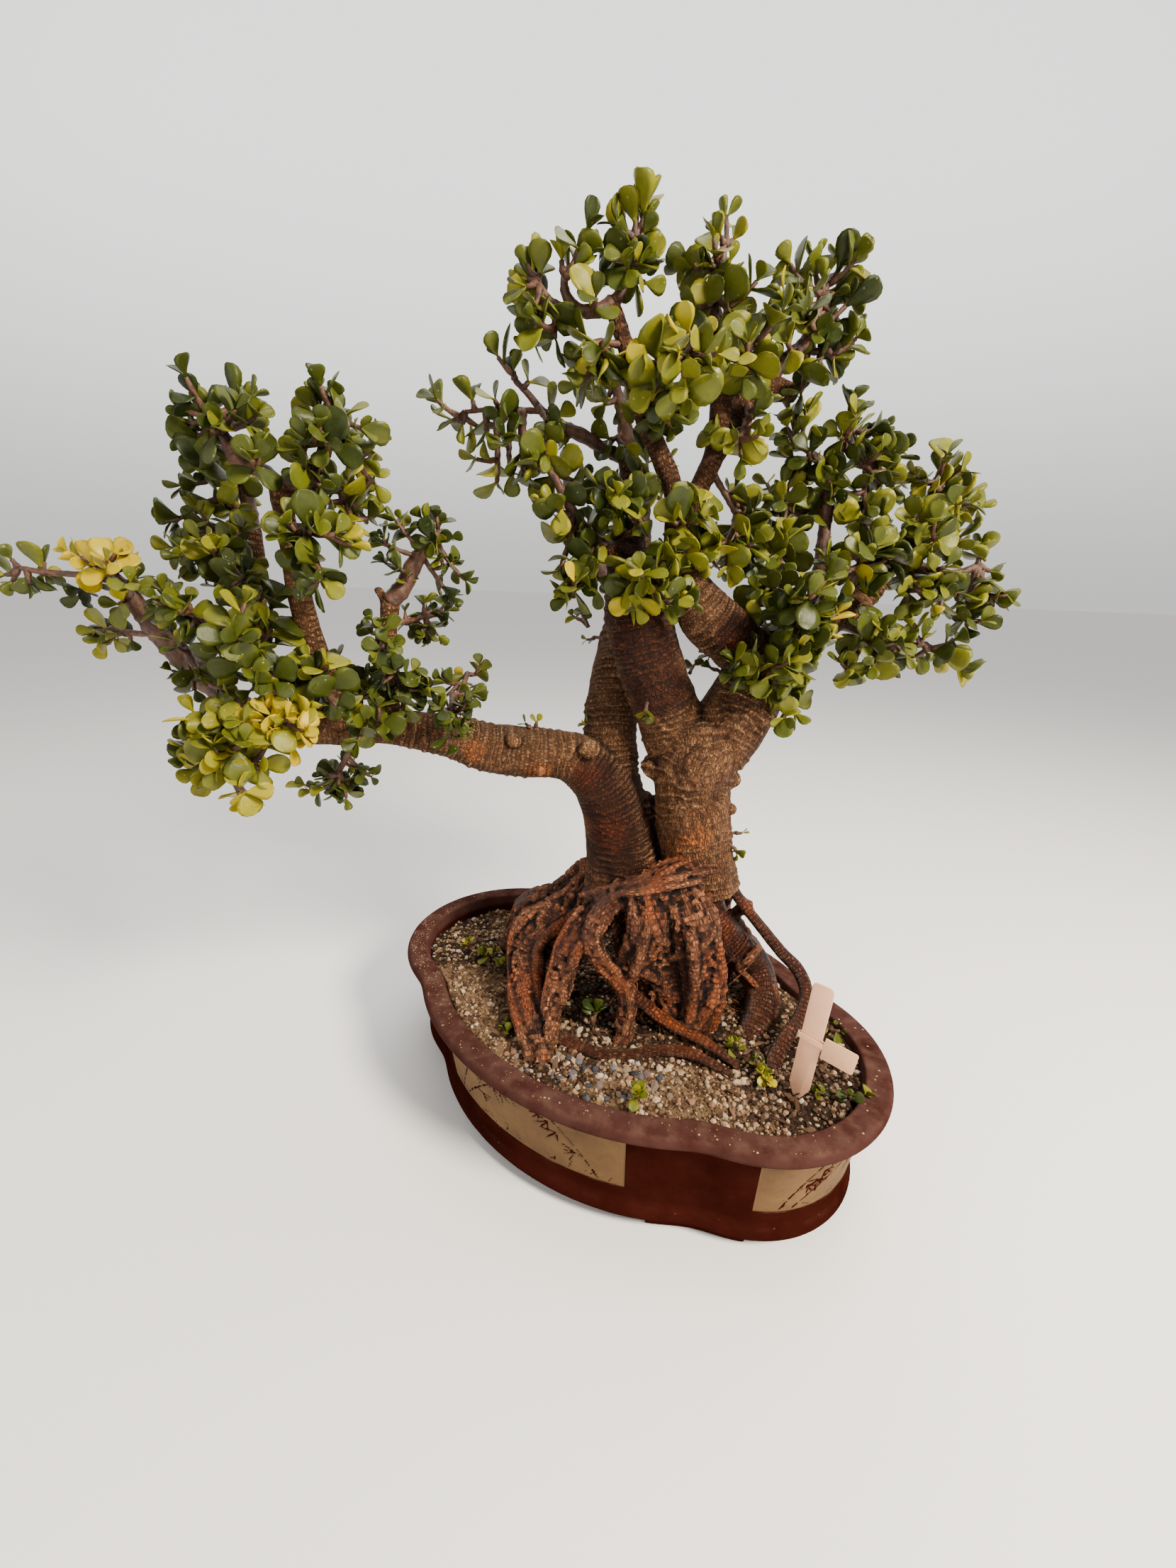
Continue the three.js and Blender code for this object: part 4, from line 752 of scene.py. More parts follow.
def path_through(rows, step=PATH_STEP):
    """Points with their radius, in metres, every `step` along a smooth line through the rows."""
    rows = np.asarray(rows, float)
    points = np.column_stack([on_tree(rows[:, :3]), rows[:, 3] / 1000])
    spare = np.vstack([2 * points[0] - points[1], points, 2 * points[-1] - points[-2]])
    line = []
    for k in range(1, len(spare) - 2):
        p0, p1, p2, p3 = spare[k - 1 : k + 3]
        gaps = [p1 - p0, p2 - p1, p3 - p2]
        d0, d1, d2 = (max(np.linalg.norm(gap[:3]), 1e-6) ** 0.5 for gap in gaps)
        leave = ((p1 - p0) / d0 - (p2 - p0) / (d0 + d1) + (p2 - p1) / d1) * d1
        reach = ((p2 - p1) / d1 - (p3 - p1) / (d1 + d2) + (p3 - p2) / d2) * d1
        steps = max(1, round(np.linalg.norm((p2 - p1)[:3]) / step))
        t = (np.arange(steps) / steps)[:, None]
        line.append((2 * t**3 - 3 * t**2 + 1) * p1 + (t**3 - 2 * t**2 + t) * leave
                    + (3 * t**2 - 2 * t**3) * p2 + (t**3 - t**2) * reach)
    line = np.vstack([*line, points[-1:]])
    line[:, 3] = np.maximum(line[:, 3], THINNEST)
    return line


def directions(path):
    way = np.gradient(path[:, :3], axis=0)
    return way / np.linalg.norm(way, axis=1, keepdims=True)


def square_to(vector, axis):
    flat = vector - axis * (vector @ axis)
    size = np.linalg.norm(flat)
    return flat / size if size > 1e-6 else square_to(np.array([axis[1], axis[2], axis[0]]), axis)


def around(path, turns, reach=1.0):
    """At each point of the path, places at these turns about it, `reach` radii out."""
    way = directions(path)
    normal = np.array([0.1, 0.2, 1.0])
    turns = np.broadcast_to(turns, (len(path), np.shape(turns)[-1]))
    rings = []
    for k, (x, y, z, radius) in enumerate(path):
        normal = square_to(normal, way[k])
        side = np.cross(way[k], normal)
        spokes = np.outer(np.cos(turns[k]), normal) + np.outer(np.sin(turns[k]), side)
        rings.append((x, y, z) + radius * reach * spokes)
    return np.array(rings)


def tube(path, sides):
    """A round skin about a path, with domed ends."""
    way = directions(path)
    vertices, faces = lofted(around(path, np.arange(sides) * 2 * math.pi / sides))
    vertices[-2] -= way[0] * path[0, 3] * 0.4
    vertices[-1] += way[-1] * path[-1, 3] * 0.4
    return vertices, faces


def ball(place, radius):
    shape = bmesh.new()
    bmesh.ops.create_icosphere(shape, subdivisions=2, radius=radius / 1000,
                               matrix=Matrix.Translation(on_tree(place)))
    vertices = np.array([vertex.co for vertex in shape.verts])
    faces = [[vertex.index for vertex in face.verts] for face in shape.faces]
    shape.free()
    return vertices, faces


def fused(name, parts, smoothing):
    """Overlapping solids grown together into one skin."""
    piece = new_piece(name, *joined(parts))
    grown = piece.modifiers.new("grown", "REMESH")
    grown.mode = "VOXEL"
    grown.voxel_size = VOXEL
    soft = piece.modifiers.new("soft", "SMOOTH")
    soft.iterations = smoothing
    return bake(piece)


def vertex_data(piece):
    mesh = piece.data
    places = np.empty(len(mesh.vertices) * 3, np.float32)
    normals = np.empty(len(mesh.vertices) * 3, np.float32)
    mesh.vertices.foreach_get("co", places)
    mesh.vertex_normals.foreach_get("vector", normals)
    return places.reshape(-1, 3).astype(float), normals.reshape(-1, 3).astype(float)


def set_places(piece, places):
    piece.data.vertices.foreach_set("co", places.astype(np.float32).ravel())
    piece.data.update()


def set_values(piece, name, values):
    slot = "vector" if np.ndim(values) == 2 else "value"
    made = piece.data.attributes.new(name, "FLOAT_VECTOR" if slot == "vector" else "FLOAT", "POINT")
    made.data.foreach_set(slot, np.asarray(values, np.float32).ravel())


def nearest_limb(places, paths):
    """For each place: how far along its limb it is, its offset, and the limb's way and radius there."""
    middles = np.vstack([path[:, :3] for path in paths])
    ways = np.vstack([directions(path) for path in paths])
    radii = np.concatenate([path[:, 3] for path in paths])
    runs = np.concatenate([k * LIMB_GAP + run_along(path[:, :3]) for k, path in enumerate(paths)])
    found = np.empty(len(places), int)
    for start in range(0, len(places), 2000):
        some = places[start : start + 2000]
        gap = np.linalg.norm(some[:, None] - middles[None], axis=2) - radii
        found[start : start + 2000] = gap.argmin(1)
    off = places - middles[found]
    ahead = (off * ways[found]).sum(1)
    return runs[found] + ahead, off - ways[found] * ahead[:, None], ways[found], radii[found]


def hollows(piece, places, normals, rounds, depth):
    """How far each place lies in a hollow of the skin, from 0 on a ridge to 1."""
    edges = np.empty(len(piece.data.edges) * 2, np.int32)
    piece.data.edges.foreach_get("vertices", edges)
    first, second = edges.reshape(-1, 2).T
    total = len(places)
    count = np.bincount(first, minlength=total) + np.bincount(second, minlength=total)
    mean = places.copy()
    for _ in range(rounds):
        sums = [np.bincount(first, mean[second, k], total) + np.bincount(second, mean[first, k], total)
                for k in range(3)]
        mean = np.stack(sums, 1) / np.maximum(count, 1)[:, None]
    return np.clip(0.5 + ((mean - places) * normals).sum(1) / depth / 2, 0, 1)


def within(places, place, size):
    """How far each place lies from the middle of a patch, in shares of its size in millimetres."""
    return np.linalg.norm(places - on_tree(place), axis=1) * 1000 / size


def in_patches(places, patches, inner, outer, ragged):
    """How far each place lies in one of the patches, from 0 to 1."""
    share = np.zeros(len(places))
    for *place, size in patches:
        share = np.maximum(share, 1 - smooth_step(inner, outer, within(places, place, size) + ragged))
    return share


limb_paths = [path_through(rows) for rows in LIMBS.values()]
limb_parts = [tube(path, 20) for path in limb_paths] + [tube(path_through(CROTCH), 16)]
limb_parts += [ball(place, radius) for *place, radius in [*KNOBS, *SCARS]]
wood = fused("trunk_and_limbs", limb_parts, 4)
places, normals = vertex_data(wood)
run, off, way, radius = nearest_limb(places, limb_paths)
wobble = 2.2 * random_waves(places, 0.030, 21) + 0.55 * random_waves(places, 0.009, 22)
ring = run / RING_SPACING + wobble
fold = np.abs(ring % 1 - 0.5) * 2
broken = smooth_step(0.42, 0.66, random_waves(places, 0.017, 23))
relief = 0.0030 * (random_waves(places, 0.024, 24) - 0.5) + 0.0018 * (random_waves(places, 0.010, 25) - 0.5)
relief += 0.0006 * (random_waves(off / 0.0040 + way * (run / 0.0065)[:, None], 1.0, 26) - 0.5)
relief += 0.0010 * smooth_step(0.55, 0.95, fold) * broken * (1 - smooth_step(0.95, 1.0, fold))
relief *= np.clip(radius / 0.014, 0.35, 1)
for *place, size in SCARS:
    reach = within(places, place, size)
    scar = 0.0018 * (1 - smooth_step(0.7, 1.2, reach)) - 0.0034 * (1 - smooth_step(0.1, 0.7, reach))
    relief += scar * (size / 5)
torn = in_patches(places, TORN, 0.55, 1.15, 0.7 * (random_waves(places, 0.007, 29) - 0.5))
shreds = random_waves(off / 0.0022 + way * (run / 0.030)[:, None], 1.0, 30) - 0.5
relief += torn * (0.0050 * shreds - 0.0035)
set_places(wood, places + normals * relief[:, None])
places, normals = vertex_data(wood)
set_values(wood, "ring", ring)
set_values(wood, "grain", off + way * (run * (0.42 - 0.34 * torn))[:, None])
set_values(wood, "torn", torn)
set_values(wood, "hollow", hollows(wood, places, normals, 6, 0.0008))
# Painted light and shade: the grey value rises on bark that faces up, for the sky's light on it, and on bark
# at the back, for its shade.
behind = smooth_step(10, 40, tree_places(*places[:, :2].T)[1])
sky_and_shade = 0.65 * smooth_step(0.1, 0.9, normals[:, 2]) + 0.6 * behind
set_values(wood, "grey", np.clip(sky_and_shade * (0.35 + 1.1 * random_waves(places, 0.02, 27)), 0, 1))
# The orange value marks bark that is partly reddish, partly painted with a warm sheen.
set_values(wood, "orange_and_sheen", in_patches(places, ORANGE_AND_SHEEN_PATCHES, 0.25, 1.0, 0.6 * (random_waves(places, 0.006, 28) - 0.5)))
# Painted shade: bark from 370 mm up, fully from 450 mm, lies under the crown and is darkened as well.
shade_and_stain = in_patches(places, SHADE_AND_STAIN_PATCHES, 0.5, 1.2, 0.5 * (random_waves(places, 0.012, 31) - 0.5))
set_values(wood, "shade_and_stain", np.maximum(shade_and_stain, 0.6 * smooth_step(0.37, 0.45, places[:, 2])))

bark, tree, shader, place = new_material("bark", 0.80, Specular_IOR_Level=0.18)
grain = attribute(tree, "grain", "Vector")
cracks = node(tree, "ShaderNodeTexVoronoi", {"Vector": grain, "Scale": 520.0, "Randomness": 1.0},
              feature="DISTANCE_TO_EDGE").outputs["Distance"]
rough = mottled(grain, 330, 0.36, 0.64, 8)
plates = times(plus(0.30, mapped(cracks, 0.01, 0.20)), plus(0.12, rough))
wide = mottled(place, 24, 0.36, 0.66, 3)
body = mixed(plates, BARK_DEEP, mixed(wide, BARK_WARM, BARK_TAN))
# Painted highlight: the ridges, where the hollow value is low, are mixed toward the palest bark colour.
ridge = calculated("SUBTRACT", 1.0, attribute(tree, "hollow"))
lift = times(ridge, ridge, plus(0.35, mottled(place, 62, 0.34, 0.68)))
body = mixed(times(lift, plates), body, BARK_RIDGE_HIGHLIGHT)
# Painted light and shade: bark facing up and bark at the back are mixed toward grey.
body = mixed(times(attribute(tree, "grey"), times(plates, 0.8)), body, BARK_SKY_AND_SHADE_GREY)
# Partly own colour, partly painted warm sheen: the orange patches.
body = mixed(times(attribute(tree, "orange_and_sheen"), times(plates, 0.6)), body, BARK_ORANGE_AND_SHEEN)
ring = attribute(tree, "ring")
groove = mapped(calculated("FRACT", plus(ring, 0.22)), 0.80, 1.0)
body = mixed(times(groove, groove, 0.55), body, BARK_DEEP)
phase = calculated("SUBTRACT", calculated("FRACT", ring), 0.5)
line = mapped(calculated("ABSOLUTE", phase), 0.42, 0.5)
line = times(line, mottled(place, 60, 0.42, 0.56))
body = mixed(times(line, 0.62), body, BARK_SCAR)
# Painted shade: the deeper hollows of the skin are darkened almost to black.
gap = mapped(attribute(tree, "hollow"), 0.56, 0.92)
body = mixed(times(gap, 0.9), body, BARK_HOLLOW_SHADE)
# Painted shade with some darker bark: the darkened patches and the bark under the crown.
body = mixed(times(attribute(tree, "shade_and_stain"), 0.95), body, BARK_SHADE_AND_STAIN, "MULTIPLY")
body = mixed(attribute(tree, "torn"), body, mixed(rough, SHRED_DEEP, SHRED_RED))
finish(shader, body, (plates, 0.0016, 1.0), (line, 0.0010, 0.9))
cover(wood, bark)
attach(wood, "root")
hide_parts("tree_wood")

# The roots have been lifted out of the soil over years. A thicket of red-brown roots spreads from
# the trunks' feet over a core of older ones, each with stringy, peeling skin, down into the soil.
ROOTS = {
    "root_core": [(32, 10, 189, 33), (36, 8, 156, 36), (40, 2, 127, 33), (44, -7, 97, 28.5),
        (47, -20, 71, 24), (49, -32, 47, 20)],
    "root_left": [(-10, 6, 180, 17), (-32, 4, 155, 15.8), (-56, 0, 139, 15.2), (-69, -10, 118, 13.9),
        (-66, -34, 101, 11.3), (-60, -58, 93, 10.3), (-55, -74, 85, 9), (-52, -84, 75, 7)],
    "root_left_rear": [(-20, 14, 178, 14), (-44, 22, 149, 12.8), (-69, 30, 131, 12.6), (-79, 34, 109, 11.1),
        (-87, 36, 86, 8.9)],
    "root_left_inner": [(-5, -16, 176, 10.2), (-22, -26, 159, 10), (-36, -34, 140, 9), (-45, -44, 121, 7.9),
        (-48, -58, 105, 6.8), (-48, -70, 92, 5.3)],
    "root_arch": [(2, -22, 181, 8.5), (-15, -34, 170, 7.8), (-22, -40, 156, 7.3), (-16, -44, 141, 6.6),
        (-5, -48, 129, 5.9), (3, -52, 117, 5.4), (3, -56, 97, 6.4), (3, -60, 82, 4.9)],
    "root_collar": [(-28, -10, 166, 7.4), (-6, -24, 180, 9.2), (16, -29, 190, 9.6), (38, -27, 198, 9),
        (64, -14, 199, 6.8)],
    "root_front": [(12, -26, 184, 11.4), (17, -40, 168, 12.1), (13, -44, 149, 10.7), (4, -46, 132, 7.8)],
    "root_ridge": [(39, -24, 183, 13.9), (48, -38, 168, 13.6), (53, -42, 143, 13.2), (53, -44, 116, 12.9),
        (51, -48, 92, 12), (50, -54, 70, 9.6)],
    "root_right": [(62, -4, 187, 11.9), (66, -4, 158, 12.6), (83, -2, 133, 14), (102, -4, 112, 14.1),
        (107, -20, 97, 12.7), (100, -36, 86, 11.4), (89, -52, 76, 8)],
    "root_right_rear": [(60, 22, 171, 16.5), (76, 38, 143, 14), (88, 47, 114, 11.6), (95, 52, 82, 8.9)],
    "root_rear": [(27, 22, 173, 19.2), (25, 46, 145, 15.8), (19, 66, 115, 13), (18, 80, 86, 10.3)],
    "root_aerial": [(67, -6, 198, 6.1), (83, -8, 174, 4.4), (103, -12, 150, 4.4), (120, -16, 131, 4.4),
        (130, -22, 122, 4.9), (134, -30, 114, 5.1), (132, -40, 109, 5), (124, -52, 102, 4.9),
        (112, -64, 96, 5.3), (103, -74, 88, 6.2), (98, -84, 82, 4.2)],
    "root_surface": [(-54, -58, 92, 6.4), (-37, -66, 90, 4.6), (-17, -75, 89, 4), (2, -76, 88, 4),
        (25, -74, 91, 4), (46, -76, 91, 4), (59, -84, 90, 3.5), (71, -90, 88, 2.3)],
    "root_surface_upper": [(5, -48, 120, 4.4), (21, -52, 106, 4.2), (36, -57, 98, 4.2), (53, -65, 94, 3.9),
        (68, -77, 91, 3.1), (77, -86, 89, 2.1)],
    "root_fine": [(-36, -30, 126, 3.1), (-54, -24, 112, 2.6), (-73, -17, 98, 2.4), (-93, -14, 85, 2.2)],
}
COLLAR = (30, 0)
STRAND_COUNT, FIBRE_COUNT = 26, 40
BUNDLED = {"root_collar": 10, "root_left": 8, "root_front": 6, "root_ridge": 7, "root_left_inner": 6,
           "root_left_rear": 6, "root_arch": 4, "root_rear": 7, "root_core": 9}
HEARTWOOD = [(20, -6, 186, 24), (28, -13, 162, 29), (36, -18, 132, 31), (43, -25, 102, 28), (48, -32, 76, 22)]
SMOOTH_ROOTS = ["root_right", "root_right_rear", "root_aerial", "root_surface", "root_surface_upper"]
STRAND_TOP, STRAND_FOOT = 196, 84
# The gap colour is painted shade for the hollows between the roots.
ROOT_DEEP, ROOT_RED, ROOT_HOLLOW_SHADE = (0.006, 0.0018, 0.0010), (0.098, 0.026, 0.011), (0.005, 0.0018, 0.0011)
# The orange root colour is partly the roots' own, partly a painted warm highlight on the ridges, kept faint
# at the back.
# The pale root colour is partly peeling skin, partly a painted highlight on the ridges.
ROOT_PEEL_AND_HIGHLIGHT, ROOT_ORANGE_AND_SHEEN, ROOT_DUST = (0.50, 0.190, 0.082), (0.40, 0.088, 0.018), (0.17, 0.10, 0.05)

root_paths = [path_through(rows) for rows in ROOTS.values()]
mass = np.vstack([*root_paths, limb_paths[0][:12], limb_paths[list(LIMBS).index("left_limb")][:14]])


def root_skin(angle, height):
    """How far from the collar's axis the root mass reaches at each angle and height, in millimetres."""
    reach = np.arange(16, 130, 2.0)
    u = COLLAR[0] + np.outer(np.cos(angle), reach)
    v = COLLAR[1] + np.outer(np.sin(angle), reach)
    tried = on_tree(np.stack([u, v, np.broadcast_to(np.asarray(height)[:, None], u.shape)], -1))
    gap = (np.linalg.norm(tried[:, :, None] - mass[None, None, :, :3], axis=3) - mass[:, 3]).min(2)
    inside = gap < 0
    return np.where(inside.any(1), reach[inside.shape[1] - 1 - inside[:, ::-1].argmax(1)], reach[0])


def strands(count, radius, seed, lift):
    """Roots that creep down over the mass: rows of u, v, z and radius for each."""
    draw = np.random.default_rng(seed)
    angle = draw.uniform(0, 2 * math.pi, count)
    drift = draw.normal(0, 0.007, count)
    start = draw.uniform(120, STRAND_TOP, count)
    start[: count // 2] = draw.uniform(170, STRAND_TOP, count // 2)
    thick = draw.uniform(*radius, count)
    stop = np.where(draw.random(count) < 0.75, STRAND_FOOT - 6, draw.uniform(90, 120, count))
    rows = [[] for _ in range(count)]
    reach = None
    for height in np.arange(STRAND_TOP, STRAND_FOOT - 10, -4.0):
        drift = np.clip(drift + draw.normal(0, 0.006, count), -0.03, 0.03)
        angle = angle + drift * 4 * 0.6 + draw.normal(0, 0.015, count)
        target = root_skin(angle, np.full(count, height))
        reach = target if reach is None else np.clip(target, reach - 3.5, reach + 5)
        for k in range(count):
            if start[k] >= height >= stop[k]:
                share = (start[k] - height) / (start[k] - stop[k] + 1)
                out = reach[k] + lift * thick[k]
                u, v = COLLAR[0] + out * math.cos(angle[k]), COLLAR[1] + out * math.sin(angle[k])
                rows[k].append((u, v, height, thick[k] * (1.15 - 0.6 * share)))
    return [row for row in rows if len(row) > 3]


def bundle(path, count, draw):
    """Thinner roots that wind about a thick one, and part from it here and there."""
    made = []
    run = np.arange(len(path)) * PATH_STEP
    for _ in range(count):
        turn = draw.uniform(0, 2 * math.pi) + draw.normal(0, 7) * run + draw.normal(0, 0.4) * np.sin(run * 45)
        waves = random_waves(np.column_stack([run, run * 0, run * 0 + draw.uniform(0, 9)]), 0.025, 39)
        line = around(path, turn[:, None])[:, 0]
        line = path[:, :3] + (line - path[:, :3]) * (0.74 + 0.52 * waves)[:, None]
        girth = np.clip(path[:, 3] * draw.uniform(0.20, 0.42), 0.0014, 0.0042) * (0.8 + 0.4 * waves)
        first, last = draw.uniform(0, 0.3), draw.uniform(0.72, 1.0)
        part = slice(int(first * len(path)), max(int(last * len(path)), int(first * len(path)) + 5))
        made.append(np.column_stack([line, girth])[part])
    return made


strand_paths = [path_through(rows) for rows in strands(STRAND_COUNT, (1.8, 4.0), 31, 0.30)]
draw = np.random.default_rng(40)
for name, count in BUNDLED.items():
    strand_paths += bundle(root_paths[list(ROOTS).index(name)], count, draw)
heart = path_through(HEARTWOOD)
strand_paths += [heart, *bundle(heart, 16, draw)]
root_parts = [tube(path, 14) for path in root_paths] + [tube(path, 8) for path in strand_paths]
roots = fused("exposed_roots", root_parts, 2)
places, normals = vertex_data(roots)
run, off, way, radius = nearest_limb(places, root_paths + strand_paths)
strings = off / 0.0030 + way * (run / 0.060)[:, None]
shredded = 0.35 + 0.65 * smooth_step(0.30, 0.55, random_waves(places, 0.030, 32))
for name in SMOOTH_ROOTS:
    shredded[(run / LIMB_GAP).astype(int) == list(ROOTS).index(name)] = 0.08
relief = 0.0044 * (random_waves(strings, 1.0, 33) - 0.5) * shredded * np.clip(radius / 0.008, 0.25, 1)
relief += 0.0022 * (random_waves(places, 0.016, 35) - 0.5) * np.clip(radius / 0.012, 0.2, 1)
set_places(roots, places + normals * relief[:, None])
places, normals = vertex_data(roots)
set_values(roots, "grain", off + way * (run * 0.10)[:, None])
set_values(roots, "shredded", shredded)
set_values(roots, "hollow", hollows(roots, places, normals, 8, 0.0016))
behind = smooth_step(-5, 30, tree_places(*places[:, :2].T)[1])
# Orange patches: partly the roots' own colour, partly a painted warm highlight, fainter behind the tree.
set_values(roots, "orange_and_sheen", smooth_step(0.45, 0.75, random_waves(places, 0.022, 36)) * (1 - 0.75 * behind))
set_values(roots, "low", smooth_step(0.112, 0.086, places[:, 2]))

root_bark, tree, shader, place = new_material("root_bark", 0.70, Specular_IOR_Level=0.25)
grain = attribute(tree, "grain", "Vector")
string = mottled(grain, 820, 0.38, 0.62)
ridge = mapped(attribute(tree, "hollow"), 0.66, 0.30)
worn = times(attribute(tree, "shredded"), plus(0.25, mottled(place, 70, 0.36, 0.66)))
body = mixed(string, ROOT_DEEP, ROOT_RED)
# Partly peeling skin, partly painted highlight: pale on the ridges of the stringy skin.
body = mixed(times(ridge, string, worn), body, ROOT_PEEL_AND_HIGHLIGHT)
# Partly own colour, partly painted highlight: orange on the ridges.
body = mixed(times(attribute(tree, "orange_and_sheen"), ridge, string), body, ROOT_ORANGE_AND_SHEEN)
# Painted shade: the hollows between the roots and strands are darkened.
body = mixed(mapped(attribute(tree, "hollow"), 0.52, 0.84), body, ROOT_HOLLOW_SHADE)
dust = mottled(place, 240, 0.50, 0.72)
body = mixed(times(dust, attribute(tree, "low")), body, ROOT_DUST)
tree.links.new(mapped(attribute(tree, "shredded"), 0, 1, 0.42, 0.80), shader.inputs["Roughness"])
finish(shader, body, (string, 0.0014, 1.0))
cover(roots, root_bark)
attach(roots, "root")
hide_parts("tree_wood")

fibres = [tube(path_through(rows, 0.006), 4) for rows in strands(FIBRE_COUNT, (0.35, 0.9), 37, 0.9)]
hairs = new_piece("root_fibres", *joined(fibres), root_bark)
places = vertex_data(hairs)[0]
set_values(hairs, "grain", places * 0.5)
set_values(hairs, "orange_and_sheen", random_waves(places, 0.03, 38))
for name, value in (("hollow", 0.45), ("shredded", 0.4), ("low", 0.0)):
    set_values(hairs, name, np.full(len(places), value))
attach(hairs, "root")

# Loose grit lies on the crust: sand, white and pink pumice, blue-grey gravel in front of the roots,
# bark chips on the right, and a little dust thrown onto the rim. Each grain is a broken lump.
LUMP_JAG = 0.24
SAND_TONES = [(0.34, 0.215, 0.115), (0.235, 0.138, 0.068), (0.45, 0.30, 0.175), (0.14, 0.076, 0.036),
              (0.06, 0.030, 0.014)]
PUMICE_TONES = [(0.48, 0.345, 0.22), (0.38, 0.245, 0.145), (0.33, 0.165, 0.095), (0.23, 0.16, 0.10),
                (0.56, 0.44, 0.32)]
GRAVEL_TONES = [(0.060, 0.066, 0.078), (0.120, 0.122, 0.130), (0.036, 0.038, 0.045), (0.18, 0.125, 0.10)]
CHIP_TONES = [(0.050, 0.021, 0.010), (0.085, 0.039, 0.018), (0.022, 0.010, 0.006), (0.16, 0.085, 0.045)]
LOAM_TONES = [(0.026, 0.013, 0.007), (0.050, 0.027, 0.014), (0.080, 0.045, 0.025), (0.23, 0.15, 0.09)]
GRAVEL_PATCHES = [(80, -35, -92, 62, 26), (30, 0, -40, 110, 60)]
WHITE_PATCHES = [(90, -30, -92, 66, 27), (50, -30, -45, 50, 36), (70, 60, -105, 70, 28),
                 (50, -120, 10, 50, 80)]
CHIP_PATCHES = [(190, 118, -95, 62, 40), (70, 10, -60, 120, 60), (70, -120, 50, 50, 50)]
RIM_GRAINS, RIM_HEIGHT = 420, 0.0912


def copies_tree():
    """Sets a copy of one of three shapes on every point, turned and sized by the point's attributes."""
    tree = bpy.data.node_groups.new("set_out_copies", "GeometryNodeTree")
    face = tree.interface
    face.new_socket("Geometry", in_out="INPUT", socket_type="NodeSocketGeometry")
    given = tree.nodes.new("NodeGroupInput").outputs
    shapes = tree.nodes.new("GeometryNodeJoinGeometry")
    for shape in ("Shape A", "Shape B", "Shape C"):
        face.new_socket(shape, in_out="INPUT", socket_type="NodeSocketObject")
    face.new_socket("Size", in_out="INPUT", socket_type="NodeSocketFloat").default_value = 1.0
    face.new_socket("Material", in_out="INPUT", socket_type="NodeSocketMaterial")
    face.new_socket("Geometry", in_out="OUTPUT", socket_type="NodeSocketGeometry")
    for shape in ("Shape A", "Shape B", "Shape C"):
        seen = node(tree, "GeometryNodeObjectInfo", {"Object": given[shape], "As Instance": True})
        tree.links.new(seen.outputs["Geometry"], shapes.inputs[0])

    def named(name, kind):
        found = node(tree, "GeometryNodeInputNamedAttribute", {"Name": name}, data_type=kind)
        return found.outputs["Attribute"]

    turn = node(tree, "FunctionNodeEulerToRotation", {0: named("turn", "FLOAT_VECTOR")}).outputs[0]
    size = node(tree, "ShaderNodeVectorMath", {0: named("size", "FLOAT_VECTOR")}, operation="SCALE")
    tree.links.new(given["Size"], size.inputs["Scale"])
    copies = node(tree, "GeometryNodeInstanceOnPoints", {
        "Points": given["Geometry"], "Instance": shapes.outputs[0], "Pick Instance": True,
        "Instance Index": named("kind", "INT"), "Rotation": turn, "Scale": size.outputs[0]})
    real = node(tree, "GeometryNodeRealizeInstances", {0: copies.outputs[0]})
    dressed = node(tree, "GeometryNodeSetMaterial", {0: real.outputs[0], "Material": given["Material"]})
    tree.links.new(dressed.outputs[0], tree.nodes.new("NodeGroupOutput").inputs[0])
    return tree


COPIES = copies_tree()


def set_out(name, places, turns, sizes, kinds, shapes, material, smooth, **values):
    """One piece made of a copy of a shape at each place; extra values become attributes of the piece."""
    piece = new_piece(name, places, [])
    set_values(piece, "turn", turns)
    set_values(piece, "size", sizes)
    piece.data.attributes.new("kind", "INT", "POINT").data.foreach_set("value", np.asarray(kinds, np.int32))
    for key, value in values.items():
        set_values(piece, key, value)
    layer = piece.modifiers.new("copies", "NODES")
    layer.node_group = COPIES
    sockets = {item.name: item.identifier for item in COPIES.interface.items_tree if item.in_out == "INPUT"}
    for letter, shape in zip("ABC", shapes):
        layer[sockets["Shape " + letter]] = shape
    layer[sockets["Size"]] = 1.0
    layer[sockets["Material"]] = material
    bake(piece)
    for key in ("turn", "size", "kind"):
        if key in piece.data.attributes:
            piece.data.attributes.remove(piece.data.attributes[key])
    set_smooth(piece, smooth)
    return piece


def lump(name, seed):
    """One broken grain, of radius 1."""
    draw = np.random.default_rng(seed)
    shape = bmesh.new()
    bmesh.ops.create_icosphere(shape, subdivisions=1, radius=1.0)
    for vertex in shape.verts:
        vertex.co *= 1 + draw.uniform(-LUMP_JAG, LUMP_JAG)
        vertex.co.z *= draw.uniform(0.8, 1.0)
    return shaped(name, shape)


def in_pot(count, draw):
    """Places spread evenly over the soil."""
    edge = SOIL_EDGE_INSET + 1.0
    angle = draw.uniform(0, 2 * math.pi, count)
    share = np.sqrt(draw.random(count))
    flat = outline(angle, edge) * share[:, None]
    keep = draw.random(count) < np.linalg.norm(outline(angle, edge), axis=1) ** 2 / 0.033
    return flat[keep]


def clear_of_wood(flat):
    """The places that no root or trunk stands on."""
    places = np.column_stack([flat, soil_height(*flat.T)])
    trunks = np.vstack([mass, *strand_paths])
    low = trunks[trunks[:, 2] < 0.12]
    gap = (np.linalg.norm(places[:, None] - low[None, :, :3], axis=2) - low[:, 3]).min(1)
    return flat[gap > -0.0008]


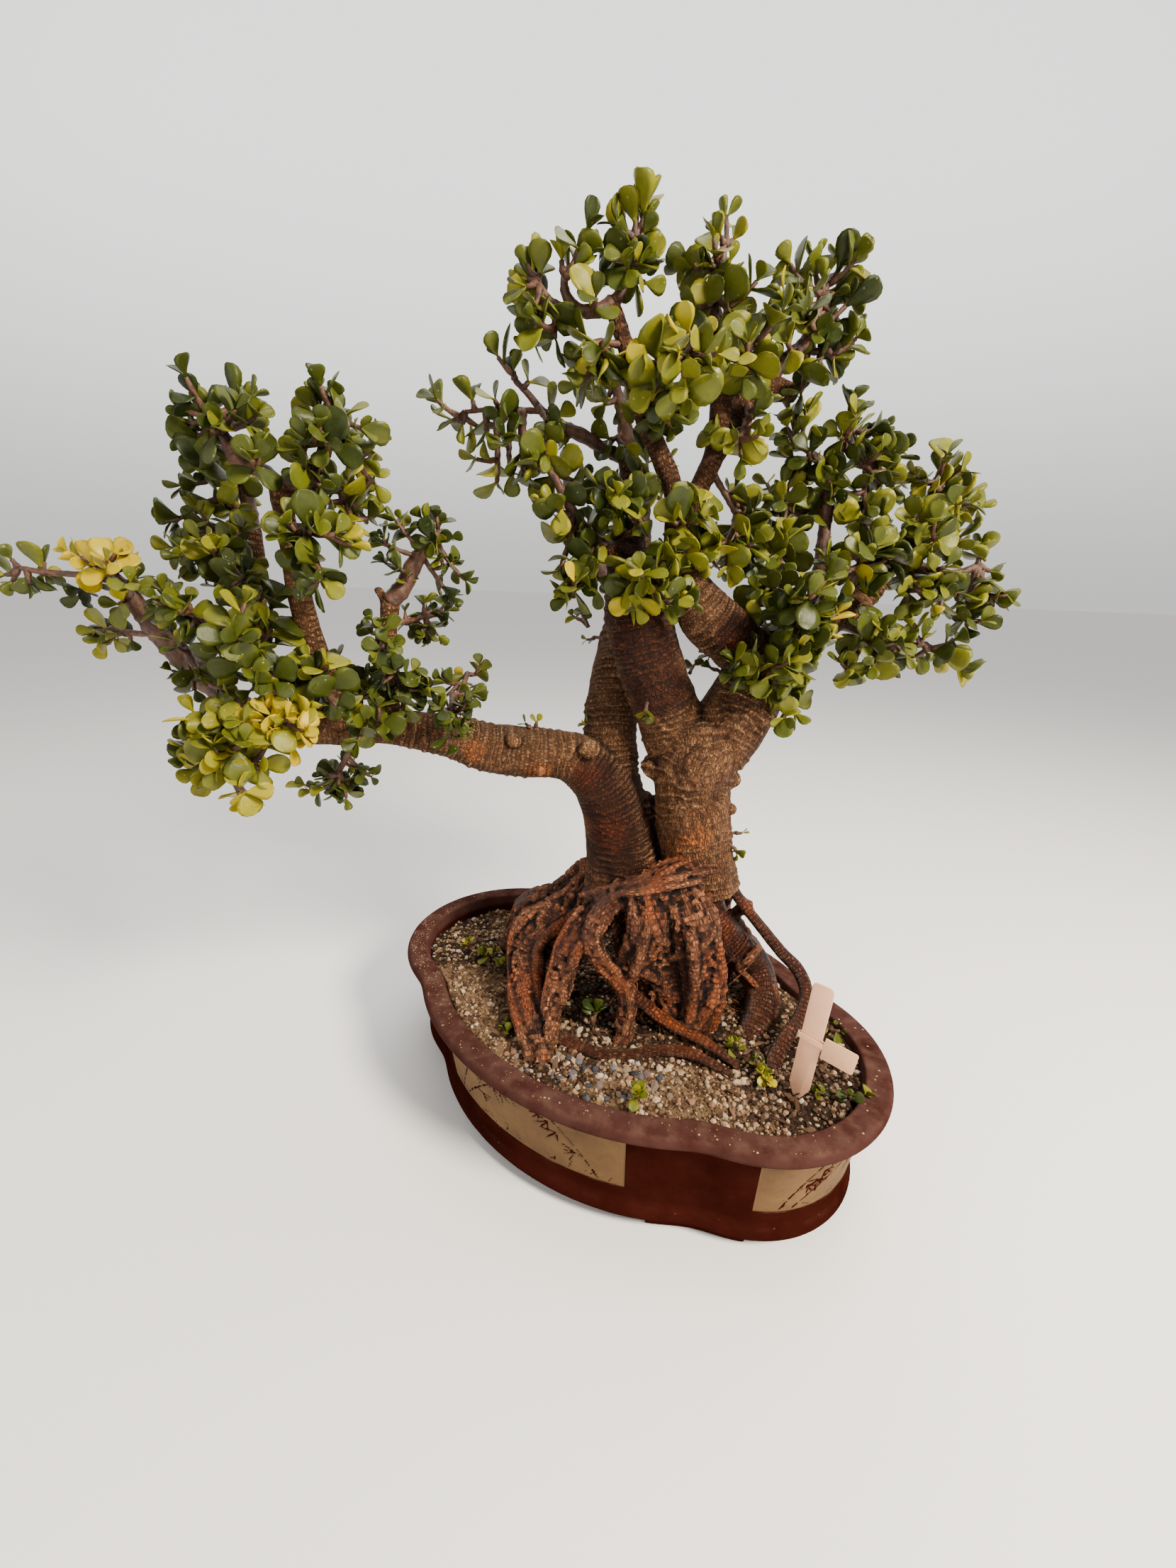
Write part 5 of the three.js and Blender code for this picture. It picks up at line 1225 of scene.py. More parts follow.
grit, tree, shader, place = new_material("grit", 0.9, Specular_IOR_Level=0.2)
speck = mottled(place, 1100, 0.3, 0.7, 3)
body = mixed(times(speck, 0.35), attribute(tree, "tone", "Color"), (0.045, 0.027, 0.016))
finish(shader, body, (speck, 0.0002, 0.7))
lumps = [lump("lump", seed) for seed in (1, 2, 3)]


def scatter(name, flat, radius, tones, sink=0.25, flatness=(0.6, 1.0), stretch=(1.0, 1.0)):
    """Grains of one kind set out on the soil."""
    count = len(flat)
    size = (radius[0] + (radius[1] - radius[0]) * draw.random(count) ** 1.9) / 1000
    height = soil_height(*flat.T) + crumbs(*flat.T) + size * (0.5 - sink)
    scale = np.stack([size * draw.uniform(*stretch, count), size, size * draw.uniform(*flatness, count)], 1)
    lean_x, lean_y = draw.normal(0, 0.35, count), draw.normal(0, 0.35, count)
    turn = np.stack([lean_x, lean_y, draw.uniform(0, 6.28, count)], 1)
    tone = np.array(tones)[draw.integers(0, len(tones), count)] * draw.uniform(0.65, 1.15, (count, 1))
    kinds = draw.integers(0, 3, count)
    places = np.column_stack([flat, height])
    piece = set_out(name, places, turn, scale, kinds, lumps, grit, False, tone=np.clip(tone, 0, 1))
    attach(piece, "root")
    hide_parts("soil")


def in_ovals(patches):
    """Places in ovals, each given by a count, its middle u and v, and its half-width along u and v."""
    found = []
    for count, middle_u, middle_v, radius_u, radius_v in patches:
        share = np.sqrt(draw.random(count))
        angle = draw.uniform(0, 2 * math.pi, count)
        u, v = middle_u + radius_u * share * np.cos(angle), middle_v + radius_v * share * np.sin(angle)
        flat = on_tree(np.stack([u, v, np.zeros(count)], -1))[:, :2]
        edge = np.linalg.norm(outline(np.arctan2(flat[:, 1], flat[:, 0]), SOIL_EDGE_INSET + 2.5), axis=1)
        found.append(clear_of_wood(flat[np.linalg.norm(flat, axis=1) < edge]))
    return np.vstack(found)


draw = np.random.default_rng(51)
flat = clear_of_wood(in_pot(16000, draw))
sandy = draw.random(len(flat)) < 0.20 + 0.75 * soil_tone(*flat.T)
scatter("sand", flat[sandy][:5200], (0.55, 2.0), SAND_TONES)
scatter("loam_crumbs", flat[~sandy][:1900], (0.6, 2.2), LOAM_TONES)
scatter("pumice", clear_of_wood(in_pot(1500, draw))[:560], (0.9, 2.8), PUMICE_TONES, sink=0.4)
scatter("gravel", in_ovals(GRAVEL_PATCHES), (1.0, 3.3), GRAVEL_TONES, sink=0.35, stretch=(0.9, 1.5))
scatter("white_gravel", in_ovals(WHITE_PATCHES), (0.9, 3.3), PUMICE_TONES, sink=0.35, stretch=(0.9, 1.5))
scatter("bark_chips", in_ovals(CHIP_PATCHES), (1.0, 2.6), CHIP_TONES, sink=0.3, flatness=(0.16, 0.4),
        stretch=(1.6, 4.2))

angle = draw.uniform(math.radians(175), math.radians(350), RIM_GRAINS)
angle = np.where(draw.random(RIM_GRAINS) < 0.6, draw.normal(math.radians(207), 0.22, RIM_GRAINS), angle)
rim_flat = outline(angle, draw.uniform(3.5, 16.5, RIM_GRAINS))
size = draw.uniform(0.15, 0.55, RIM_GRAINS) ** 1.2 / 1000
tone = np.array(SAND_TONES[:3])[draw.integers(0, 3, RIM_GRAINS)]
rim_dust = set_out("rim_dust", np.column_stack([rim_flat, np.full(RIM_GRAINS, RIM_HEIGHT)]),
                   draw.uniform(0, 6.28, (RIM_GRAINS, 3)), np.repeat(size[:, None], 3, 1),
                   draw.integers(0, 3, RIM_GRAINS), lumps, grit, False, tone=tone)
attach(rim_dust, "root")
for shape in lumps:
    bpy.data.objects.remove(shape)

# Leafy branches grow from the limbs. Their stems are smooth red-brown wood with a ring at each old
# leaf joint, and shoots at their ends carry thick, glossy, spoon-shaped leaves in crossed pairs. For
# each branch the table gives its stems, as rows of u, v, z and radius, and where its shoots end.
CANOPY = {}
CANOPY["left_crown"] = {
    "left_top_west": ([[(-185, -78, 428, 4.2), (-193, -80, 435, 3.8), (-204, -82, 439, 3.3),
         (-208, -82, 449, 2.6), (-213, -80, 457, 2)]],
        [(-224, -78, 480), (-228, -88, 469), (-219, -66, 476), (-240, -66, 460), (-205, -102, 460),
         (-204, -62, 483), (-183, -88, 469), (-184, -108, 449), (-238, -60, 450)]),
    "left_top_east": ([[(-184, -78, 429, 4.2), (-174, -78, 434, 3.5), (-164, -76, 443, 3.2),
         (-160, -74, 452, 2.6), (-159, -72, 460, 1.9)]],
        [(-159, -70, 482), (-145, -76, 470), (-177, -60, 476), (-151, -104, 456), (-170, -96, 459),
         (-168, -100, 445), (-148, -62, 454), (-138, -56, 452), (-140, -44, 443), (-156, -50, 462)]),
    "left_back_east": ([[(-186, -74, 428, 2.5), (-178, -58, 430, 1.9), (-168, -44, 431, 1.6)]],
        [(-174, -30, 443), (-152, -34, 430), (-151, -36, 417), (-167, -40, 416), (-181, -40, 442)]),
    "left_front_mid": ([[(-186, -76, 411, 1.8), (-171, -92, 409, 1.4)]],
        [(-144, -100, 417), (-156, -112, 418), (-148, -118, 393), (-169, -114, 406), (-162, -112, 398)]),
    "left_rear_top": ([[(-228, -28, 412, 4.5), (-231, -24, 433, 3.7), (-233, -24, 443, 2.4)]],
        [(-269, -40, 443), (-254, -52, 432), (-252, -26, 449), (-250, 0, 440), (-276, -46, 423),
         (-252, -60, 417), (-280, -42, 409), (-239, -44, 427), (-227, -46, 448)]),
    "left_inner": ([[(-227, -36, 376, 3.1), (-229, -54, 393, 2.3), (-234, -62, 402, 1.7)]],
        [(-250, -62, 410), (-254, -58, 392), (-215, -90, 410), (-212, -76, 410), (-210, -94, 388),
         (-198, -90, 392), (-244, -72, 383)]),
    "left_fore": ([[(-187, -62, 311, 5.8), (-198, -72, 333, 5.1), (-209, -82, 352, 4.1),
         (-221, -86, 359, 2.6), (-237, -86, 367, 1.8)]],
        [(-264, -66, 385), (-252, -82, 370), (-237, -98, 361), (-231, -94, 380), (-200, -110, 376),
         (-193, -122, 368), (-216, -108, 354), (-188, -122, 352), (-183, -110, 345), (-190, -86, 373),
         (-189, -80, 390), (-194, -70, 360)]),
}
CANOPY["far_left"] = {
    "far_left": ([[(-196, -58, 301, 8.4), (-225, -56, 307, 8), (-249, -54, 324, 7.5), (-268, -52, 342, 7),
         (-283, -52, 362, 5.9), (-292, -52, 377, 4.2), (-300, -52, 386, 2.8), (-309, -54, 392, 1.8)],
        [(-294, -52, 380, 2.4), (-318, -50, 383, 1.8), (-340, -48, 384, 1.6), (-355, -46, 386, 1.2)],
        [(-276, -51, 352, 2), (-298, -42, 351, 1.7), (-312, -40, 353, 1.3)],
        [(-261, -53, 335, 2.5), (-251, -70, 346, 1.8)]],
        [(-320, -60, 405), (-297, -72, 399), (-282, -64, 406), (-278, -54, 402), (-278, -82, 402),
         (-282, -46, 391), (-259, -76, 375), (-266, -82, 391), (-356, -50, 397), (-374, -42, 389),
         (-369, -46, 379), (-316, -64, 371), (-346, -40, 372), (-341, -42, 398), (-288, -72, 374),
         (-328, -44, 359), (-314, -46, 343), (-331, -32, 349), (-301, -38, 342), (-317, -30, 361),
         (-250, -84, 355), (-230, -92, 343), (-239, -86, 329), (-213, -98, 337), (-261, -66, 366)]),
}
CANOPY["left_limb"] = {
    "limb_end": ([[(-214, -68, 298, 5.5), (-222, -76, 298, 3.6), (-225, -88, 304, 2.3),
         (-231, -90, 303, 1.7)]],
        [(-255, -84, 310), (-256, -92, 289), (-231, -102, 317), (-212, -112, 326), (-196, -118, 329),
         (-191, -128, 320), (-204, -122, 302), (-197, -122, 288), (-191, -114, 300), (-210, -122, 308)]),
    "limb_front": ([[(-196, -62, 304, 2.5), (-194, -84, 312, 1.7), (-194, -96, 316, 1.5)]],
        [(-194, -104, 327), (-175, -114, 330), (-169, -110, 323), (-172, -104, 309)]),
    "upright_foot": ([[(-179, -64, 336, 2.4), (-172, -82, 335, 1.7)]],
        [(-153, -104, 331), (-172, -102, 346), (-182, -92, 354), (-170, -96, 319)]),
    "limb_top_mid": ([[(-167, -46, 303, 2.2), (-167, -44, 317, 1.7)]],
        [(-183, -24, 335), (-162, -60, 332), (-165, -28, 340), (-152, -80, 318), (-194, -12, 341),
         (-140, -78, 318)]),
    "mid_upright_foot": ([[(-152, -34, 329, 2.2), (-142, -50, 335, 1.7)]],
        [(-129, -62, 331), (-130, -72, 320), (-152, -58, 340), (-124, -52, 319), (-139, -68, 347)]),
    "limb_top_right": ([[(-115, -26, 294, 2.8), (-114, -30, 316, 2.2), (-110, -48, 320, 1.6),
         (-108, -62, 316, 1.3)],
        [(-114, -29, 313, 2), (-110, -10, 324, 1.6), (-110, 0, 328, 1.3)]],
        [(-122, -64, 319), (-106, -78, 313), (-109, -76, 295), (-96, -62, 314), (-131, -12, 333),
         (-119, 10, 328), (-97, 6, 334), (-93, -12, 317), (-104, -42, 327)]),
    "limb_under": ([[(-171, -46, 297, 3), (-179, -38, 281, 2), (-189, -32, 266, 1.6)]],
        [(-219, -26, 257), (-204, -34, 251), (-175, -32, 247), (-206, -12, 268), (-167, -20, 271),
         (-189, -18, 254), (-187, -48, 260)]),
}
CANOPY["mid_upright"] = {
    "mid_upright_top": ([[(-150, -28, 373, 5.5), (-142, -26, 382, 5.1), (-136, -24, 394, 4.7),
         (-128, -22, 405, 3.6), (-121, -20, 410, 2.3)]],
        [(-123, -14, 430), (-110, -14, 416), (-133, -24, 431), (-96, -20, 392), (-110, -32, 396),
         (-109, -8, 382), (-123, -42, 416), (-147, -30, 429), (-158, -34, 416), (-147, -36, 401)]),
    "mid_upright_side": ([[(-151, -29, 360, 2.1), (-145, -12, 361, 1.8), (-138, 4, 363, 1.6)]],
        [(-140, 16, 378), (-121, 20, 376), (-121, 12, 354), (-137, -4, 351), (-128, 10, 345)]),
    "mid_upright_left": ([[(-152, -31, 352, 1.9), (-152, -46, 355, 1.4)]],
        [(-158, -50, 359), (-155, -56, 347), (-135, -66, 360), (-144, -62, 368)]),
}
CANOPY["crown"] = {
    "crown_left": ([[(-23, -14, 532, 4.3), (-32, -16, 528, 3.5), (-42, -16, 529, 3.3), (-48, -16, 536, 2.5),
         (-49, -16, 545, 1.7)],
        [(-42, -16, 528, 2.3), (-55, -18, 531, 1.9), (-63, -18, 540, 1.3)]],
        [(-51, -18, 558), (-39, -22, 553), (-37, -12, 566), (-30, -32, 541), (-61, -14, 550),
         (-72, -12, 550), (-76, -22, 540), (-71, -26, 527), (-80, -22, 520), (-71, -4, 528),
         (-58, -30, 512)]),
    "crown_top": ([[(-22, -14, 533, 3.5), (-16, -12, 540, 2.7), (-12, -10, 550, 2.1), (-12, -8, 565, 1.7)]],
        [(-12, -6, 596), (-26, -10, 581), (-5, -8, 583), (-3, 0, 583), (-22, -26, 560), (-8, -28, 557),
         (-17, -26, 553), (-2, 8, 566), (1, -24, 547), (-22, 12, 585)]),
    "crown_left_inner": ([[(-15, -14, 513, 2), (-27, -22, 512, 1.5)]],
        [(-42, -32, 519), (-38, -34, 508), (-54, -30, 499), (-37, -4, 504), (-27, -44, 513),
         (-50, -14, 511)]),
    "crown_mid_gap": ([[(-7, -14, 492, 2.4), (3, -22, 497, 1.8), (7, -28, 504, 1.3)]],
        [(1, -30, 515), (-8, -42, 508), (8, -50, 488), (-2, -42, 481), (18, -36, 485), (6, -18, 526),
         (-7, -52, 494)]),
    "crown_centre": ([[(38, -6, 524, 4), (35, -6, 536, 3.2), (37, -6, 551, 2.5), (37, -6, 564, 1.7)]],
        [(33, -8, 572), (24, -18, 558), (46, -2, 574), (43, -18, 557), (23, -12, 554), (9, -8, 564),
         (15, -24, 542), (45, -32, 539), (53, -24, 533), (28, 16, 551)]),
    "crown_front": ([[(39, -6, 515, 2.4), (28, -26, 513, 1.9), (20, -42, 511, 1.5)]],
        [(12, -60, 515), (9, -74, 497), (9, -68, 488), (24, -58, 512), (26, -62, 498), (6, -42, 512)]),
    "crown_mid_right": ([[(40, -5, 509, 2.4), (47, -16, 513, 1.8), (53, -22, 515, 1.3)]],
        [(43, -48, 504), (64, -28, 513), (59, -36, 500), (35, -44, 514), (55, -10, 528), (72, 6, 535)]),
    "crown_right": ([[(71, 14, 503, 4.7), (81, 14, 516, 4.4), (93, 16, 527, 3.8), (98, 18, 541, 2.9),
         (101, 20, 553, 2.1)]],
        [(74, 18, 583), (82, 8, 570), (93, 24, 587), (68, 6, 562), (81, -8, 547), (99, 14, 569),
         (114, 22, 585), (119, 28, 575), (113, 14, 556), (128, 28, 567), (131, 24, 549), (114, 8, 539),
         (73, -12, 535), (96, -6, 538)]),
    "crown_right_low": ([[(89, 15, 523, 2.5), (100, 18, 523, 1.9), (107, 18, 525, 1.5)]],
        [(106, 10, 509), (120, 18, 521), (103, 32, 537), (87, -6, 506), (114, 28, 538)]),
    "crown_stub": ([[(60, 10, 494, 2.6), (59, -8, 481, 1.8)]],
        [(62, -20, 485), (58, -18, 465), (46, -24, 464), (66, -16, 497), (41, -32, 476)]),
}
CANOPY["middle"] = {
    "west_branch": ([[(-12, 14, 462, 4.4), (-24, 10, 466, 3.5), (-36, 4, 471, 4.1), (-51, 0, 476, 3.6),
         (-61, -4, 482, 2.7), (-69, -6, 490, 2), (-77, -6, 497, 1.6)],
        [(-62, -4, 482, 1.9), (-88, -6, 482, 1.4), (-106, -6, 480, 1.2)]],
        [(-78, -8, 507), (-66, -12, 501), (-90, -16, 493), (-102, -8, 493), (-122, -4, 480), (-114, -2, 471),
         (-90, -20, 469), (-78, -32, 456), (-67, -36, 454), (-85, -26, 450), (-70, -38, 467),
         (-52, -30, 485), (-45, -18, 486), (-55, -42, 466)]),
    "west_low": ([[(-6, -10, 403, 4.4), (-23, -18, 409, 3.4), (-34, -20, 418, 2.9), (-43, -22, 429, 3.1),
         (-51, -22, 442, 2.7), (-57, -22, 450, 1.8)]],
        [(-67, -28, 452), (-59, -14, 460), (-45, -8, 459), (-48, -42, 432), (-45, -38, 419), (-59, -40, 403),
         (-47, -50, 399), (-52, -46, 387), (-35, -54, 406), (-27, -52, 395), (-55, -28, 422)]),
    "grey_top": ([[(-10, 14, 464, 5.5), (-12, 18, 481, 4.6), (-16, 22, 497, 3.3), (-19, 24, 507, 2.2)]],
        [(-27, 16, 511), (-31, 8, 499), (-12, 36, 516), (-28, -2, 481), (1, 42, 491), (-1, 42, 526),
         (-35, 32, 498)]),
    "leader_front": ([[(-6, 2, 433, 2.6), (-12, -20, 440, 1.9)]],
        [(-28, -42, 443), (-18, -48, 450), (-5, -42, 446), (-25, -44, 432), (-2, -38, 437), (-33, -28, 438),
         (10, -34, 430)]),
    "torn_front": ([[(-5, -10, 397, 3.1), (-3, -32, 401, 2.1)]],
        [(-15, -56, 395), (1, -62, 400), (12, -66, 396), (19, -56, 406), (22, -70, 389), (-4, -60, 384),
         (31, -46, 397), (-19, -40, 380)]),
    "centre_low": ([[(21, -11, 416, 3), (23, -28, 423, 2)]],
        [(11, -48, 433), (20, -52, 433), (23, -56, 414), (7, -50, 419), (35, -38, 434), (43, -30, 440),
         (30, -34, 446), (17, -44, 401)]),
    "centre_right": ([[(39, -4, 455, 2.5), (51, -2, 440, 1.9), (59, -4, 428, 1.7)]],
        [(60, 14, 450), (77, 14, 442), (56, -22, 418), (46, -34, 409), (78, 0, 425), (91, 28, 449),
         (65, -26, 410), (40, -38, 423)]),
}
CANOPY["right"] = {
    "right_upright": ([[(114, 6, 360, 8), (119, 12, 384, 5.8), (120, 16, 410, 4.4), (120, 18, 430, 4.3),
         (120, 20, 449, 4.5), (117, 20, 464, 4.2)],
        [(118, 20, 463, 2.7), (108, 20, 468, 2), (97, 20, 474, 1.6)],
        [(118, 20, 463, 2.7), (125, 20, 472, 2), (129, 20, 483, 1.5)]],
        [(92, 16, 484), (89, 22, 476), (105, 14, 481), (112, 6, 486), (129, 22, 491), (113, -4, 471),
         (102, 10, 460), (140, 30, 488), (104, 32, 462), (120, -6, 452)]),
    "right_mid_top": ([[(143, 9, 379, 4.2), (148, 14, 407, 3.2), (147, 16, 430, 2.5), (143, 18, 449, 2),
         (140, 18, 463, 1.6)]],
        [(139, 14, 473), (152, 20, 474), (157, 24, 487), (147, 4, 461), (128, 12, 467), (172, 34, 489),
         (137, -10, 448), (161, 14, 449), (131, -2, 437), (178, 34, 469)]),
    "right_top": ([[(164, 14, 410, 6), (175, 16, 425, 4.1), (184, 18, 440, 3.4), (187, 20, 455, 2)]],
        [(188, 18, 467), (205, 24, 466), (173, 12, 459), (165, -2, 446), (192, 8, 450), (219, 24, 454),
         (234, 34, 454), (206, 8, 441), (215, 14, 429), (234, 24, 427), (185, -12, 424), (185, -16, 432)]),
    "right_end": ([[(164, 13, 406, 5.1), (187, 18, 403, 3.7), (211, 22, 400, 2.8), (228, 24, 406, 1.9)]],
        [(226, 22, 419), (244, 26, 408), (257, 26, 391), (242, 16, 382), (218, 4, 386), (198, -6, 386),
         (179, -16, 402), (199, -2, 417), (244, 24, 373), (176, -10, 389)]),
    "right_low": ([[(132, 8, 371, 6.1), (147, 2, 363, 4.2), (168, -4, 354, 2.8), (186, -6, 356, 1.8)]],
        [(143, -38, 356), (142, -36, 369), (172, -18, 351), (193, -10, 348), (206, 0, 360), (181, -16, 369),
         (164, -24, 370), (164, -12, 340), (130, -32, 348), (222, 14, 364)]),
    "right_front": ([[(109, 4, 359, 3.3), (103, -24, 371, 2.2)]],
        [(84, -46, 372), (91, -56, 368), (86, -46, 383), (96, -42, 388), (107, -42, 376), (115, -38, 355),
         (84, -50, 398), (94, -46, 405), (122, -32, 368)]),
    "right_foot": ([[(90, 0, 344, 2.8), (80, -32, 348, 1.9)]],
        [(66, -46, 349), (75, -54, 344), (56, -38, 359), (98, -30, 328), (48, -32, 349), (112, -26, 333),
         (119, -20, 320)]),
    "right_inner": ([[(96, 4, 354, 3.7), (96, 10, 383, 3), (91, 12, 409, 2.5), (92, 14, 431, 2),
         (92, 14, 441, 1.6)]],
        [(87, 18, 458), (82, 14, 446), (99, 6, 441), (76, -14, 420), (65, -22, 398), (71, -24, 386),
         (86, -18, 415), (98, -2, 427), (80, -28, 398), (117, 22, 444)]),
    "right_centre": ([[(136, 8, 375, 3.3), (132, -8, 393, 2.2), (134, -14, 405, 1.7)]],
        [(118, -24, 400), (126, -24, 416), (142, -22, 416), (141, -26, 401), (123, -8, 421), (157, -18, 405),
         (106, -26, 407), (161, -6, 430)]),
}
CANOPY["rear"] = {
    "rear_top": ([[(5, 80, 402, 8.5), (7, 98, 431, 6.5), (11, 112, 458, 4.4)]],
        [(0, 118, 483), (20, 124, 480), (-7, 104, 461), (38, 122, 460), (11, 128, 499), (-19, 100, 475),
         (30, 118, 494)]),
    "rear_left": ([[(-3, 60, 372, 7.8), (-21, 84, 394, 5.4), (-33, 98, 420, 3.3)]],
        [(-47, 104, 440), (-33, 112, 452), (-17, 118, 438), (-55, 96, 418), (-49, 90, 398),
         (-23, 126, 459)]),
    "rear_right": ([[(0, 66, 381, 7.9), (34, 96, 401, 5.5), (62, 112, 418, 3.4)]],
        [(53, 122, 445), (75, 126, 436), (85, 110, 408), (95, 116, 446), (57, 100, 390), (41, 132, 435),
         (106, 104, 418)]),
}
# Tints by bough. The yellow of the left limb's sprays is partly the leaves' own yellow-green and partly
# painted sunlight.
BOUGH_TINTS_AND_SUNLIGHT = {"limb_end": 0.54, "limb_front": 0.86, "far_left": 0.34, "torn_front": 0.44, "centre_low": 0.40,
          "right_foot": 0.40, "crown_front": 0.43, "crown_centre": 0.42, "right_top": 0.36, "rear_top": 0.22,
          "rear_left": 0.2, "rear_right": 0.2, "limb_under": 0.22, "left_back_east": 0.28,
          "left_rear_top": 0.3}
GROUP_TINT = {"crown": 0.33, "middle": 0.31, "right": 0.31}
# The bright tint, given to the first far-left tips, is partly the leaves' own yellow and partly painted
# sunlight.
PLAIN_TINT, YELLOW_AND_SUNLIT_TINT = 0.26, 0.84
YELLOW_AND_SUNLIT_TIPS = {"far_left": 5}
LEAFINESS = {"left_crown": 0.92, "far_left": 0.82, "left_limb": 0.92, "mid_upright": 0.70, "crown": 1.12,
             "middle": 1.10, "right": 1.08, "rear": 0.95}
SMALL_LEAVED = {"limb_top_mid": 0.9, "limb_top_right": 0.75, "limb_under": 0.75}
THINNED = {"crown": 0.45, "middle": 0.35, "far_left": 0.2, "left_crown": 0.75, "mid_upright": 0.6,
           "right": 0.75, "rear": 0.3}
LEAF_LENGTH = (13.5, 22.5)
JOINT_STEP = 8.0
STEM_STEP = 0.002
TWIG_RADIUS = (2.0, 1.2)
LEAF_REACH = 16.0
PAIR_SPREAD = (40, 62, 74, 84)
PAIR_SIZE = (0.66, 0.95, 1.0, 0.95)
SPUR_STEP = 17.0
LEAF_HALF_WIDTHS = [(0.0, 0.045), (0.15, 0.085), (0.34, 0.215), (0.53, 0.330), (0.72, 0.375), (0.87, 0.310),
                    (0.965, 0.180)]
LEAF_RIM = [(1.0, 0.0), (0.55, 0.55), (-0.55, 0.55), (-1.0, 0.0), (-0.55, -0.75), (0.55, -0.75)]
LEAF_THICK = 0.060
LEAF_BOUND = np.array([(0, 0, 0), (1, 0, -0.2), (1, 0, 0.2), (0.75, 0.42, 0.2), (0.75, -0.42, 0.2)])


def leaf_shape(name, wide, cup, droop, twist):
    """A leaf one unit long, along X, with its upper face up: a rounded blade narrowing to its foot."""
    rings = []
    for t, half in LEAF_HALF_WIDTHS:
        half *= wide
        thick = LEAF_THICK * min(1.0, 3.0 * (1.03 - t))
        middle = -droop * t**2 + 0.02 * math.sin(math.pi * t)
        ring = []
        for y, z in LEAF_RIM:
            lift = cup * half * y**2 + twist * t * half * y
            ring.append((t, y * half, middle + lift + z * thick))
        rings.append(ring)
    vertices, faces = lofted(rings)
    vertices[-1, 0] = 1.0
    vertices[-1, 2] = -droop + 0.03 * cup
    leaf = new_piece(name, vertices, [face[::-1] for face in faces])
    set_values(leaf, "along", np.clip(vertices[:, 0], 0, 1))
    set_values(leaf, "margin", np.clip(np.abs(vertices[:, 1]) / 0.35 / wide, 0, 1))
    return leaf


leaf_shapes = [leaf_shape("leaf_flat", 1.0, 0.12, 0.04, 0.0),
               leaf_shape("leaf_cupped", 0.88, 0.50, -0.12, 0.12),
               leaf_shape("leaf_bent", 1.1, 0.22, 0.20, -0.14)]


def leaf_turn(heading, face):
    """The turn that lays a leaf along `heading` with its upper side towards `face`."""
    heading = heading / np.linalg.norm(heading)
    up = square_to(face, heading)
    side = np.cross(up, heading)
    return tuple(Matrix(np.column_stack([heading, side, up]).tolist()).to_euler())


def bent_line(start, end, sag, steps):
    """A line that leaves `start` low and comes up to `end`."""
    middle = (start + end) / 2 + sag
    t = np.linspace(0, 1, steps)[:, None]
    return (1 - t) ** 2 * start + 2 * t * (1 - t) * middle + t**2 * end


def leafy_shoot(spine, pairs, tint, scale):
    """Pairs of leaves down a shoot from its end: each gives its place, turn, size and tint."""
    way = directions(spine)
    run = run_along(spine)
    across = square_to(draw.normal(0, 1, 3), way[-1])
    back = 0.0
    for pair in range(pairs):
        at = run[-1] - back
        if at < 0 and pair:
            break
        k = int(np.clip(np.searchsorted(run, at), 0, len(spine) - 1))
        across = square_to(across, way[k])
        for side in (1, -1):
            if pair and draw.random() < 0.08:
                continue
            spread = math.radians(PAIR_SPREAD[pair] + draw.normal(0, 9))
            out = across * side
            lead = way[k] * math.cos(spread) + out * math.sin(spread) + draw.normal(0, 0.14, 3) + (0, 0, 0.12)
            face = way[k] * math.sin(spread) - out * math.cos(spread) + draw.normal(0, 0.30, 3) + (0, 0, 0.30)
            size = (LEAF_LENGTH[0] + (LEAF_LENGTH[1] - LEAF_LENGTH[0]) * draw.beta(1.8, 2.2)) / 1000
            size *= scale * PAIR_SIZE[pair]
            own = np.clip(tint + draw.normal(0, 0.10) + (0.30 if draw.random() < 0.015 else 0), 0, 1)
            wide = size * draw.uniform(0.88, 1.12)
            leaves.append((*spine[k], *leaf_turn(lead, face), size, wide, size, own))
        across = np.cross(way[k], across)
        back += JOINT_STEP / 1000 * scale * draw.uniform(0.8, 1.3)


def twig(spine, scale):
    share = np.linspace(0, 1, len(spine))
    girth = TWIG_RADIUS[0] + (TWIG_RADIUS[1] - TWIG_RADIUS[0]) * share
    girth = girth * (1 + 0.25 * (np.arange(len(spine)) % 2)) * (0.45 + 0.55 * scale) / 1000
    twigs.append(tube(np.column_stack([spine, girth]), 5))


def spur(start, along, reach, tint, scale):
    """A short side shoot with two pairs of leaves."""
    out = square_to(draw.normal(0, 1, 3), along)
    heading = 0.45 * along + out * 0.8 + (0, 0, 0.35)
    end = start + heading / np.linalg.norm(heading) * reach
    spine = bent_line(start, end, np.array([0, 0, -0.14]) * reach, max(3, int(reach / 0.003)))
    twig(spine, 0.8 * scale)
    leafy_shoot(spine, 2, tint, scale)


def varied(tint, mean, spread):
    return np.clip(tint + draw.normal(mean, spread), 0, 1)


